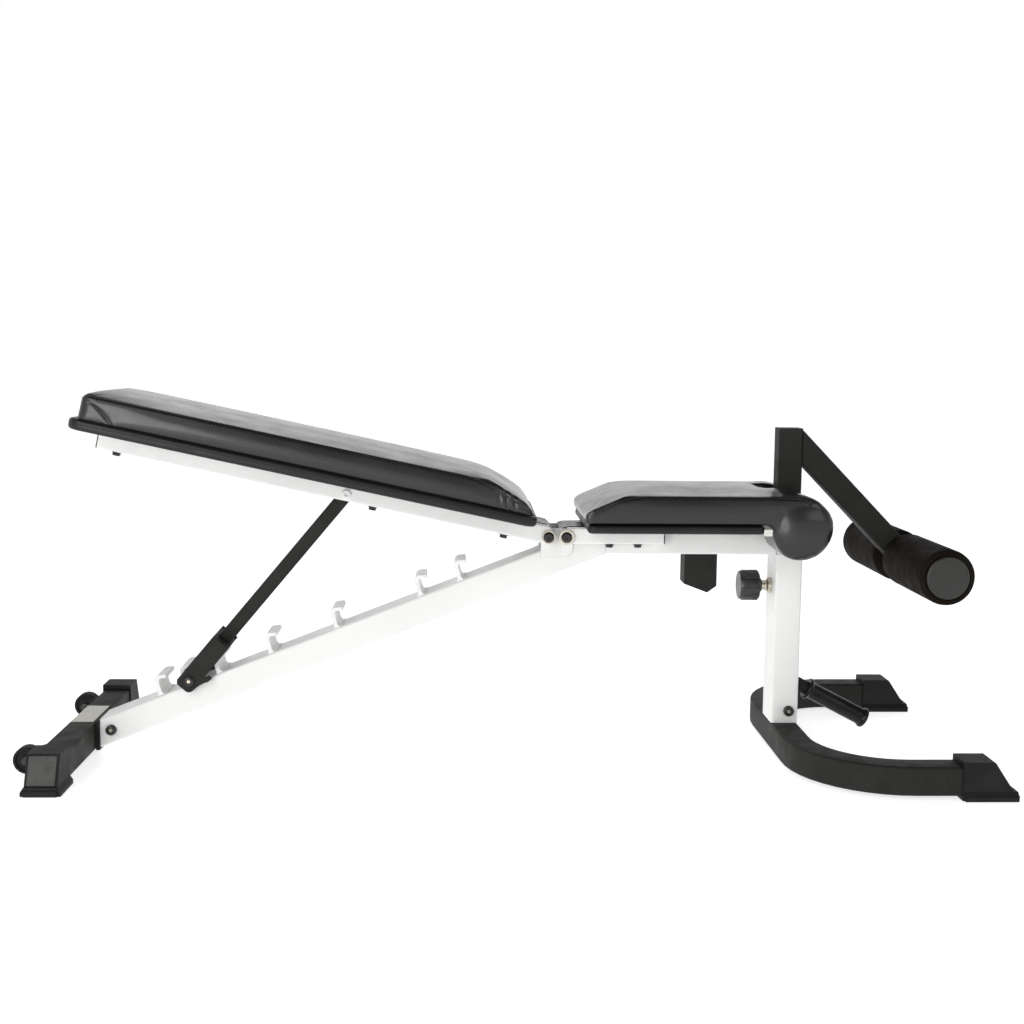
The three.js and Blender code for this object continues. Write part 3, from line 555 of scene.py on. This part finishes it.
def voxel_copy(node, voxel, tilt=0.0):
    """A free copy of a CAD node's mesh, levelled by tilt and remeshed into even quads."""
    mesh = nodes[node].data.copy()
    level = Matrix.Rotation(-tilt, 4, "Y")
    mesh.transform(level)
    obj = bpy.data.objects.new(node + "_vinyl", mesh)
    bpy.context.scene.collection.objects.link(obj)
    made = bmesh.new()
    made.from_mesh(mesh)
    bmesh.ops.remove_doubles(made, verts=made.verts, dist=1e-5)
    made.to_mesh(mesh)
    made.free()
    remesh = obj.modifiers.new("remesh", "REMESH")
    remesh.mode = "VOXEL"
    remesh.voxel_size = voxel
    graph = bpy.context.evaluated_depsgraph_get()
    even = bpy.data.meshes.new_from_object(obj.evaluated_get(graph))
    even.transform(level.inverted())
    obj.modifiers.remove(remesh)
    obj.data = even
    return obj


def relax(obj, rounds, free=None):
    """Evens the mesh out; free is a mask of the vertices that may move."""
    made = bmesh.new()
    made.from_mesh(obj.data)
    verts = [v for v in made.verts if free is None or free[v.index]]
    for _ in range(rounds):
        bmesh.ops.smooth_vert(
            made,
            verts=verts,
            factor=0.5,
            use_axis_x=True,
            use_axis_y=True,
            use_axis_z=True,
        )
    made.to_mesh(obj.data)
    made.free()
    obj.data.update()


def subdivide(obj):
    modifier = obj.modifiers.new("subdivide", "SUBSURF")
    modifier.levels = modifier.render_levels = 1
    graph = bpy.context.evaluated_depsgraph_get()
    finer = bpy.data.meshes.new_from_object(obj.evaluated_get(graph))
    obj.modifiers.remove(modifier)
    obj.data = finer


def distances(co, points):
    """Distance from each row of co to the nearest of points."""
    tree = kdtree.KDTree(len(points))
    for i, p in enumerate(points):
        tree.insert(p, i)
    tree.balance()
    return np.array([tree.find(p)[2] for p in co.tolist()])


def surface_of(obj):
    return BVHTree.FromObject(obj, bpy.context.evaluated_depsgraph_get())


def laid_on(surface, rays):
    """Where each (origin, direction) ray meets the surface, with the surface normal."""
    hits = []
    for origin, direction in rays:
        place, normal, _, _ = surface.ray_cast(origin, direction, 0.2)
        if place is not None:
            hits.append((place, normal if normal.dot(direction) < 0 else -normal))
    return hits


def press_seam(obj, points, width, depth):
    """Draws the surface in along a seam."""
    co, normals = points_of(obj.data)
    pull = depth * np.exp(-((distances(co, points) / width) ** 2))
    move_points(obj.data, co - normals * pull[:, None])


def dress_pad(pad, body, node):
    pad.data.shade_smooth()
    pad.data.materials.clear()
    pad.data.materials.append(MAT["vinyl"])
    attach(pad, body)
    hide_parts(node)


def welt(name, hits, radius, body, closed=False, lift=0.0):
    """A cord of covered piping that follows a seam."""
    line = [p + n * lift for p, n in hits]
    verts, faces = tube(line, radius, 8, closed)
    return mesh_object(name, verts, faces, "vinyl", body, "vinyl")


def stitches(name, hits, pitch, body):
    """Short threads laid end to end along a seam."""
    line = resample([p + n * 0.0004 for p, n in hits], pitch / 2)
    parts = []
    for i in range(0, len(line) - 1, 2):
        a, b = line[i], line[i + 1]
        reach = (b - a) * 0.72
        middle = (a + b) / 2
        parts.append(tube([middle - reach / 2, middle, middle + reach / 2], 0.00055, 6))
    verts, faces = joined(parts)
    return mesh_object(name, verts, faces, "thread", body, "vinyl")


def outline_rays(x0, x1, half, corner, height, place):
    """Rays that look inward at a pad from all round its plan, at height(x), millimetres."""
    rays = []
    reach, step = 0.03, 6.0

    def add(x, y, dx, dy):
        start = place(x + dx * reach * 1000, y + dy * reach * 1000, height(x))
        end = place(x, y, height(x))
        rays.append((start, (end - start).normalized()))

    straight = int((x1 - x0 - 2 * corner) / step)
    cross = int((2 * half - 2 * corner) / step)
    for i in range(straight):
        add(x0 + corner + i * step, -half, 0, -1)
    for i in range(7):
        t = -math.pi / 2 + i / 7 * math.pi / 2
        c, s = math.cos(t), math.sin(t)
        add(x1 - corner + c * corner, -half + corner + s * corner, c, s)
    for i in range(cross):
        add(x1, -half + corner + i * step, 1, 0)
    for i in range(7):
        t = i / 7 * math.pi / 2
        c, s = math.cos(t), math.sin(t)
        add(x1 - corner + c * corner, half - corner + s * corner, c, s)
    for i in range(straight):
        add(x1 - corner - i * step, half, 0, 1)
    for i in range(7):
        t = math.pi / 2 + i / 7 * math.pi / 2
        c, s = math.cos(t), math.sin(t)
        add(x0 + corner + c * corner, half - corner + s * corner, c, s)
    for i in range(cross):
        add(x0, half - corner - i * step, -1, 0)
    for i in range(7):
        t = math.pi + i / 7 * math.pi / 2
        c, s = math.cos(t), math.sin(t)
        add(x0 + corner + c * corner, -half + corner + s * corner, c, s)
    return rays


def rounded_slab(x0, x1, half, corner, z0, z1, edge, place):
    """A board with round corners in plan and rounded rims, in millimetres, through place."""
    arc = 8
    profile = []
    for i in range(5):
        t = i / 4 * math.pi / 2
        profile.append((edge * (1 - math.sin(t)), z0 + edge * (1 - math.cos(t))))
    for i in range(5):
        t = i / 4 * math.pi / 2
        profile.append((edge * (1 - math.cos(t)), z1 - edge * (1 - math.sin(t))))
    verts, faces = [], []
    for inset, z in profile:
        r = corner - inset
        centres = ((x1, half, 0), (x0, half, 1), (x0, -half, 2), (x1, -half, 3))
        for cx, cy, quarter in centres:
            mx = cx - math.copysign(corner, cx - (x0 + x1) / 2)
            my = cy - math.copysign(corner, cy)
            for i in range(arc + 1):
                t = (quarter + i / arc) * math.pi / 2
                verts.append(place(mx + r * math.cos(t), my + r * math.sin(t), z))
    ring = 4 * (arc + 1)
    for k in range(len(profile) - 1):
        for i in range(ring):
            j = (i + 1) % ring
            a, b = k * ring, (k + 1) * ring
            faces.append((a + i, a + j, b + j, b + i))
    faces.append(tuple(reversed(range(ring))))
    top = (len(profile) - 1) * ring
    faces.append(tuple(top + i for i in range(ring)))
    return verts, faces


def curve_at(table, x):
    """Value at x on the straight lines between a table's (x, value) pairs."""
    if x <= table[0][0]:
        return table[0][1]
    for (x0, v0), (x1, v1) in zip(table, table[1:]):
        if x <= x1:
            t = (x - x0) / (x1 - x0)
            return v0 + (v1 - v0) * t
    return table[-1][1]


BACK_SEAM = [(-862, 81), (-840, 83), (-180, 84), (-150, 82.5)]
BACK_SEAM += [(-125, 76), (-90, 62), (-60, 51), (-42, 44)]
SEAT_SEAM = [(-396, 461), (-380, 469), (-345, 485), (-325, 492)]
SEAT_SEAM += [(-290, 497), (-60, 497), (-20, 496)]
DART_POINTS = 11


def make_back_pad():
    pad = voxel_copy("back_pad", 0.005, BACK_ANGLE)
    relax(pad, 2)
    up, along = BACK_UP, BACK_ALONG

    def on_pad(co):
        """Distance along, across and above the back rest, in millimetres."""
        away = co - np.array(BACK_PIVOT)
        return away @ np.array(along) * 1000, away[:, 1] * 1000, away @ np.array(up) * 1000

    rays = outline_rays(-862, -36, 150, 26, lambda u: curve_at(BACK_SEAM, u), on_back)
    dart_rays = []
    for side in (-1, 1):
        for t in [i / (DART_POINTS - 1) for i in range(DART_POINTS)]:
            u = -848 + 57 * t
            v = 74 - 5 * t - 33 * t * t
            dart_rays.append((on_back(u, side * 190, v), Vector((0, -side, 0))))
    surface = surface_of(pad)
    held = [p for p, _ in laid_on(surface, rays) + laid_on(surface, dart_rays)]
    co, normals = points_of(pad.data)
    _, _, height = on_pad(co)
    bottom = height < 37.6
    pinned = bottom | (distances(co, held) < 0.004)
    inset = 0.0025 * np.clip((height - 37.6) / 8, 0, 1)
    move_points(pad.data, co - normals * inset[:, None])
    swell(pad, pinned, 0.006)
    relax(pad, 6, ~pinned)
    subdivide(pad)
    surface = surface_of(pad)
    seam = [p for p, _ in laid_on(surface, rays)]
    darts = [p for p, _ in laid_on(surface, dart_rays)]
    press_seam(pad, seam, SEAM_WIDTH, 0.0016)
    for line in (darts[:DART_POINTS], darts[DART_POINTS:]):
        press_seam(pad, resample(line, 0.002), SEAM_WIDTH, SEAM_DEPTH)
    co, normals = points_of(pad.data)
    u, y, height = on_pad(co)
    below = np.interp(u, *zip(*BACK_SEAM)) - height
    mask = np.exp(-(((u + 88) / 22) ** 2) - ((below - 8) / 15) ** 2)
    mask *= (np.abs(y) > 138) & (height > 40)
    ripple = np.sin((u + 0.35 * height) * 2 * math.pi / 14)
    move_points(pad.data, co + normals * (0.0026 * mask * ripple)[:, None])
    dress_pad(pad, "back_rest", "back_pad")
    surface = surface_of(pad)
    seam = laid_on(surface, rays)
    welt("back_top_welt", seam, 0.0013, "back_rest", closed=True)
    lower = [(o - up * 0.004, d) for o, d in rays]
    stitches("back_top_stitches", laid_on(surface, lower), 0.006, "back_rest")
    for k, name in enumerate(("near", "far")):
        dart = laid_on(surface, dart_rays[k * DART_POINTS : (k + 1) * DART_POINTS])
        points = resample([p for p, _ in dart], 0.003)
        side = Vector((0, -1 if name == "near" else 1, 0))
        for number, shift in ((1, -0.0022), (2, 0.0022)):
            line = [(p + along * shift, side) for p in points]
            welt(f"back_dart_{name}_{number}", line, 0.0009, "back_rest", lift=0.0005)


ROLL_CENTRE = (1.5, 434)
ROLL_R = 50


def dome_roll_ends(pad):
    """The front roll's ends stand out like a bolster's."""
    co, normals = points_of(pad.data)
    x = (co[:, 0] - POST_X) * 1000 - ROLL_CENTRE[0]
    z = co[:, 2] * 1000 - ROLL_CENTRE[1]
    share = np.clip(1 - (x * x + z * z) / ROLL_R**2, 0, 1)
    facing = np.clip(np.abs(normals[:, 1]) * 2 - 0.8, 0, 1)
    outer = np.abs(co[:, 1]) > 0.1
    lower = np.clip((x + 45) / 30, 0, 1) * np.clip((50 - z) / 25, 0, 1)
    beside = np.clip((np.abs(co[:, 1]) - 0.055) / 0.03, 0, 1)
    co += normals * (0.0028 * lower * beside)[:, None]
    co[:, 1] += np.sign(co[:, 1]) * 0.006 * share * facing * outer
    move_points(pad.data, co)


def make_seat_pad():
    pad = voxel_copy("seat_pad", 0.005)
    relax(pad, 2)
    side_rays = {}
    for side in (-1, 1):
        line = [(x, curve_at(SEAT_SEAM, x)) for x in range(-384, -19, 6)]
        for i in range(4):
            line.append((-14 + 7 * i, 496 - 0.8 * i * i))
        side_rays[side] = [
            (post(x, side * 190, z), Vector((0, -side, 0))) for x, z in line
        ]
    surface = surface_of(pad)
    held = [p for rays in side_rays.values() for p, _ in laid_on(surface, rays)]
    co, normals = points_of(pad.data)
    x = (co[:, 0] - POST_X) * 1000
    fixed = (normals[:, 2] < -0.6) & (x < -62)
    fixed |= (np.abs(co[:, 1]) < 0.050) & (x > -66)
    pinned = fixed | (distances(co, held) < 0.0035)
    roll = x > -40
    inset = np.where(fixed, 0, np.where(roll, 0.0002, 0.0022))
    move_points(pad.data, co - normals * inset[:, None])
    swell(pad, pinned, 0.008)
    relax(pad, 3, ~pinned)
    subdivide(pad)
    dome_roll_ends(pad)
    surface = surface_of(pad)
    for rays in side_rays.values():
        line = [p for p, _ in laid_on(surface, rays)]
        press_seam(pad, resample(line, 0.002), SEAM_WIDTH, SEAM_DEPTH)
    dress_pad(pad, "seat", "seat_pad")
    surface = surface_of(pad)
    for side, name in ((-1, "near"), (1, "far")):
        hits = laid_on(surface, side_rays[side])
        welt(f"seat_side_welt_{name}", hits, 0.0012, "seat")
        lower = [(o - Vector((0, 0, 0.004)), d) for o, d in side_rays[side]]
        stitches(f"seat_side_stitches_{name}", laid_on(surface, lower), 0.006, "seat")


def make_board_wraps():
    """Vinyl drawn round each board and stapled under it, with the turned edge as a fine rib."""
    back = joined(
        [
            rounded_slab(-872.0, -32.5, 152.8, 27, 20.0, 39.6, 6.0, on_back),
            rounded_slab(-872.6, -31.9, 153.5, 27.7, 30.6, 32.4, 0.8, on_back),
        ]
    )
    wrap = mesh_object("back_board_wrap", *back, "wrap", "back_rest", "wrapped_board")
    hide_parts("back_board")
    low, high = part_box("seat_board")
    x0 = (low.x - POST_X) * 1000 - 4
    x1 = (high.x - POST_X) * 1000
    z0, z1 = low.z * 1000 + 0.2, high.z * 1000
    middle = (z0 + z1) / 2
    seat = joined(
        [
            rounded_slab(x0, x1, 152.0, 12, z0, z1, 5.0, post),
            rounded_slab(x0 - 0.6, x1 + 0.2, 152.6, 12.6, middle, middle + 1.6, 0.7, post),
        ]
    )
    wrap = mesh_object("seat_board_wrap", *seat, "wrap", "seat", "wrapped_board")
    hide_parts("seat_board")


FOAM_R = 49
FOAM_INNER, FOAM_OUTER = 25.5, 243.0  # the foam's two ends, from the middle of the bench
FOAM_ROWS = 30


def make_rollers():
    y0, y1 = FOAM_INNER, FOAM_OUTER
    centre = Vector(joints["roller_spin_near"]["pos_m"])
    centre.y = 0
    skin = [(9.3, y0), (40, y0 + 0.2), (45.5, y0 + 1.2), (48.3, y0 + 4), (FOAM_R, y0 + 9)]
    for i in range(1, FOAM_ROWS):
        y = y0 + 9 + (y1 - y0 - 18) * i / FOAM_ROWS
        skin.append((FOAM_R - 0.5 * abs(math.sin(i * 1.7)) * 0.3, y))
    skin += [(FOAM_R, y1 - 9), (48.3, y1 - 4), (45.5, y1 - 1.2)]
    skin += [(41, y1 - 0.1), (38.6, y1 - 1.6), (9.3, y1 - 2.2)]
    disc = [(0.01, y1 + 4.6), (12, y1 + 4.5), (24, y1 + 4.1), (31, y1 + 3.6)]
    disc += [(33.2, y1 + 3.1), (34.2, y1 + 3.3), (36.2, y1 + 2.6), (37.3, y1 + 1.2)]
    disc += [(37.3, y1 + 0.2), (30, y1 + 0.2), (0.01, y1 + 0.2)]
    for name, side in (("near", -1), ("far", 1)):
        direction = Vector((0, side, 0))
        body = f"roller_{name}"
        shape = hollow_lathe(skin, centre, direction, 72)
        foam = mesh_object(f"foam_roller_{name}_skin", *shape, "foam", body, "foam")
        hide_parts(f"foam_roller_{name}")
        shape = lathe(disc, centre, direction, 64)
        piece = f"roller_disc_{name}"
        cap = mesh_object(f"{piece}_cap", *shape, "plastic", body, "moulded_plastic")
        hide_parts(piece)


# ---------------------------------------------------------------- hardware
def hex_bolt(place, axis):
    """Washer and hexagon head standing along axis from place."""
    flat, depth, washer = 13.0, 5.2, 9.0
    rim = [(washer - 0.4, 0), (washer, 0.3), (washer, 1.2), (washer - 0.4, 1.5), (0.01, 1.5)]
    corner = flat / math.sqrt(3)
    top = depth + 1.5
    head = [(corner, 1.5), (corner, depth + 0.7), (corner * 0.9, top), (0.01, top)]
    return joined([lathe(rim, place, axis, 28), lathe(head, place, axis, 6)])


def make_pin_spring():
    """The pull pin's coil spring, a helix of wire the length of the CAD spring."""
    low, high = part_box("pin_spring")
    wire = 0.0006
    radius = (high.z - low.z) / 2 - wire
    length = high.x - low.x
    turns, per_turn = 7, 20
    points = []
    for i in range(turns * per_turn + 1):
        angle = i / per_turn * 2 * math.pi
        x = low.x + wire + (length - 2 * wire) * i / (turns * per_turn)
        y = radius * math.cos(angle)
        z = (low.z + high.z) / 2 + radius * math.sin(angle)
        points.append(Vector((x, y, z)))
    verts, faces = tube(points, wire, 8)
    coil = mesh_object("pin_spring_coil", verts, faces, "zinc", "frame", "bright_steel")
    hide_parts("pin_spring")
    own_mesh(coil)


def add_pad_bolts():
    parts = []
    for side in (-1, 1):
        for u in (-798, -326.5, -81.4):
            parts.append(hex_bolt(on_back(u, side * RAIL_Y, -13.3), -BACK_UP))
    mesh_object("back_pad_bolts", *joined(parts), "oxide", "back_rest", "black_fastener")
    parts = []
    for side in (-1, 1):
        for x in (-340.4, -287.9):
            parts.append(hex_bolt(post(x, side * RAIL_Y, 401.7), Vector((0, 0, -1))))
    mesh_object("seat_pad_bolts", *joined(parts), "oxide", "seat", "black_fastener")


def button_head(place, axis, radius):
    """A domed head with a hexagon socket, standing on a bolt's end."""
    rim = [(radius - 0.1, 0.05), (radius - 0.3, 0.9), (radius * 0.8, 1.9), (radius * 0.55, 2.4)]
    rim += [(radius * 0.42, 2.3), (radius * 0.4, 1.9), (radius * 0.38, 0.05)]
    verts, faces = lathe(rim, place, axis, 36)
    return verts, faces[:-2]


def add_button_heads():
    for node, radius, body in (
        ("rear_joint_bolt", 9.8, "frame"),
        ("front_joint_bolt", 9.8, "frame"),
        ("strut_pin", 9.0, "strut"),
    ):
        low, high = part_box(node)
        middle = (low + high) / 2
        domes, socket_glints = [], []
        for side, face in ((-1, low.y), (1, high.y)):
            place = Vector((middle.x, face, middle.z))
            axis = Vector((0, side, 0))
            domes.append(button_head(place, axis, radius))
            # Each hexagon socket floor takes the bright zinc finish as a painted glint inside the black oxide
            # head.
            socket = [(radius * 0.39, 0.06), (radius * 0.39, 0.5), (0.01, 0.5)]
            socket_glints.append(lathe(socket, place, axis, 6))
        mesh_object(f"{node}_domes", *joined(domes), "oxide", body, "black_fastener")
        mesh_object(f"{node}_sockets", *joined(socket_glints), "zinc", body, "bright_steel")


def add_pivot_washers():
    for name, pivot, radius in (("back", BACK_PIVOT, 13.0), ("seat", SEAT_PIVOT, 14.6)):
        profile = [(9.9, 64.8), (radius, 64.8), (radius, 68.4)]
        profile += [(radius - 0.9, 69.4), (10.6, 69.4), (9.9, 68.8)]
        parts = [hollow_lathe(profile, pivot, Vector((0, side, 0)), 48) for side in (-1, 1)]
        shape = joined(parts)
        mesh_object(f"{name}_pivot_washers", *shape, "washer", "frame", "bright_steel")


def add_plugs():
    """Flush plugs in the open ends of the pad rails."""
    for name, body, x, low, high, place in (
        ("back_rail_plugs", "back_rest", (-835.2, -833.2), -12.9, 19.1, on_back),
        ("seat_rail_plugs", "seat", (-240.3, -238.3), 402.1, 430.9, post),
    ):
        parts = []
        for side in (-1, 1):
            y0, y1 = side * RAIL_Y - 9.6, side * RAIL_Y + 9.6
            parts.append(rounded_block((x[0], y0, low), (x[1], y1, high), 0.8, place))
        mesh_object(name, *joined(parts), "plastic", body, "moulded_plastic")


def add_blank_sticker():
    block = rounded_block((-1340, -32, 57.85), (-1298, 84, 58.2), 0.12, post, 1)
    mesh_object("blank_sticker", *block, "paper", "frame", "black_frame")


def add_seat_tag():
    """A blank woven tag caught under the seat cover where the roll begins."""
    block = rounded_block((-75, -153.6, 429.5), (-60, -152.4, 441.5), 0.5, post, 2)
    mesh_object("blank_tag", *block, "tag", "seat", "vinyl")


def add_shoe_plates():
    """Smooth raised plate on the sloping end of each shoe."""
    for name, end_x, run, turn in (("front", 262, 45, None), ("rear", -1317.5, 28, "side")):
        parts = []
        for side in (-1, 1):
            foot = Vector((32 + 0.78 * run, 0, 14))
            top = Vector((32, 0, 67))
            slope = (top - foot).normalized()
            out = Vector((slope.z, 0, -slope.x))
            span = (top - foot).length

            def place(s, y, h, side=side):
                at = foot + slope * s + out * h
                if turn:
                    return post(end_x - side * y, side * (236 + at.x), at.z)
                return post(end_x + at.x, side * 293.6 + y, at.z)

            parts.append(rounded_block((3, -24.5, -0.5), (span - 3, 24.5, 1.5), 0.8, place))
        mesh_object(f"{name}_shoe_plates", *joined(parts), "plate", "frame", "black_rubber")


HOOK_X = [-1167, -1119.7, -1059, -962, -840, -684.3, -611]


def hook_root(number):
    """Where a ladder hook stands on the sloping beam's top face."""
    x = HOOK_X[number - 1]
    z = 379.7 + 50.8 / math.cos(SLOPE) - (-343.5 - x) * math.tan(SLOPE)
    return post(x, 0, z)


def add_welds():
    """Beads where the white tubes and plates are welded together."""
    up = Vector((-math.sin(SLOPE), 0, math.cos(SLOPE)))
    along = Vector((math.cos(SLOPE), 0, math.sin(SLOPE)))
    parts = []
    for i in range(1, 8):
        for a in (-8.4, 6.4):
            base = hook_root(i) + along * (a / 1000) + up * 0.0006
            line = [base + Vector((0, y / 1000, 0)) for y in range(-34, 35, 4)]
            parts.append(tube(line, 0.0015, 8, wobble=0.35))
    verts, faces = joined(parts)
    mesh_object("hook_welds", verts, faces, "white", "frame", "white_frame")


def ring_path(half_x, half_y, z):
    signs = ((-1, -1), (1, -1), (1, 1), (-1, 1))
    corners = [post(a * half_x, b * half_y, z) for a, b in signs]
    return resample(corners + corners[:1], 0.004)[:-1]


def add_post_weld():
    verts, faces = tube(ring_path(25.0, 37.7, 379.9), 0.0016, 8, closed=True, wobble=0.3)
    mesh_object("post_weld", verts, faces, "white", "frame", "white_frame")


# ---------------------------------------------------------------- stage
def add_stage():
    size = 40
    mesh = bpy.data.meshes.new("floor")
    corners = [(-size, -size, 0), (size, -size, 0), (size, size, 0), (-size, size, 0)]
    mesh.from_pydata(corners, [], [(0, 1, 2, 3)])
    floor = bpy.data.objects.new("floor", mesh)
    bpy.context.scene.collection.objects.link(floor)
    floor.location.z = -0.0002
    pale = Material("pale_floor", (0.9, 0.9, 0.9), 0.7)
    pale.vary(pale.noise(3, 3), (0.885, 0.885, 0.885))
    pale.shader.inputs["Emission Color"].default_value = (1, 1, 1, 1)
    pale.shader.inputs["Emission Strength"].default_value = 0.7
    mesh.materials.append(pale.mat)


def add_world():
    """White behind and low down, darker overhead and on the side the bench is seen from."""
    world = bpy.data.worlds.new("studio")
    bpy.context.scene.world = world
    world.use_nodes = True
    tree = world.node_tree
    place = tree.nodes.new("ShaderNodeTexCoord").outputs["Generated"]
    split = tree.nodes.new("ShaderNodeSeparateXYZ")
    tree.links.new(place, split.inputs[0])

    def between(source, a, b, low, high):
        made = tree.nodes.new("ShaderNodeMapRange")
        made.interpolation_type = "SMOOTHSTEP"
        for i, value in zip((1, 2, 3, 4), (a, b, low, high)):
            made.inputs[i].default_value = value
        tree.links.new(source, made.inputs["Value"])
        return made.outputs["Result"]

    side = between(split.outputs["Y"], -0.7, 0.5, 0.42, 1.0)
    height = between(split.outputs["Z"], 0.4, 0.8, 1.0, 0.15)
    both = tree.nodes.new("ShaderNodeMath")
    both.operation = "MULTIPLY"
    tree.links.new(side, both.inputs[0])
    tree.links.new(height, both.inputs[1])
    haze = tree.nodes.new("ShaderNodeMath")
    haze.operation = "MAXIMUM"
    tree.links.new(both.outputs["Value"], haze.inputs[0])
    tree.links.new(between(split.outputs["Z"], 0.02, 0.35, 1.0, 0.0), haze.inputs[1])
    sky = tree.nodes["Background"]
    sky.inputs["Color"].default_value = (1, 1, 1, 1)
    tree.links.new(haze.outputs["Value"], sky.inputs["Strength"])


def area_light(name, place, target, size, power):
    data = bpy.data.lights.new(name, "AREA")
    data.shape = "RECTANGLE"
    data.size, data.size_y = size
    data.energy = power
    light = bpy.data.objects.new(name, data)
    bpy.context.scene.collection.objects.link(light)
    light.location = place
    aim = Vector(target) - Vector(place)
    light.rotation_euler = aim.to_track_quat("-Z", "Y").to_euler()


def add_lights():
    area_light("key", (-2.0, -2.6, 2.4), (0, 0, 0.3), (1.8, 1.2), 36)
    area_light("fill", (2.2, -2.8, 1.8), (0, 0, 0.3), (1.6, 1.2), 8)
    area_light("low_left", (-1.9, -3.4, 0.7), (-0.5, 0, 0.5), (1.6, 1.2), 30)
    area_light("rim", (0.3, 2.6, 2.2), (0, 0, 0.3), (3.0, 1.0), 10)


def add_camera():
    data = bpy.data.cameras.new("camera")
    data.sensor_width = 36
    data.lens = 1352.135 / 1024 * 36
    camera = bpy.data.objects.new("camera", data)
    bpy.context.scene.collection.objects.link(camera)
    pitch, yaw, roll = (math.radians(a) for a in (6.537, 1.977, 0.556))
    forward = Vector(
        (math.sin(yaw) * math.cos(pitch), math.cos(yaw) * math.cos(pitch), -math.sin(pitch))
    )
    right = Vector((math.cos(yaw), -math.sin(yaw), 0))
    up = right.cross(forward)
    tilted_right = right * math.cos(roll) + up * math.sin(roll)
    tilted_up = up * math.cos(roll) - right * math.sin(roll)
    turn = Matrix((tilted_right, tilted_up, -forward)).transposed().to_4x4()
    camera.matrix_world = Matrix.Translation((-0.07866, -2.52001, 0.74199)) @ turn
    bpy.context.scene.camera = camera


dress_cad_nodes()
make_back_pad()
make_seat_pad()
make_board_wraps()
make_rollers()
make_pin_spring()
add_pad_bolts()
add_button_heads()
add_pivot_washers()
add_plugs()
add_blank_sticker()
add_seat_tag()
add_shoe_plates()
add_welds()
add_post_weld()
add_stage()
add_world()
add_lights()
add_camera()
bpy.context.scene.view_settings.view_transform = "Standard"
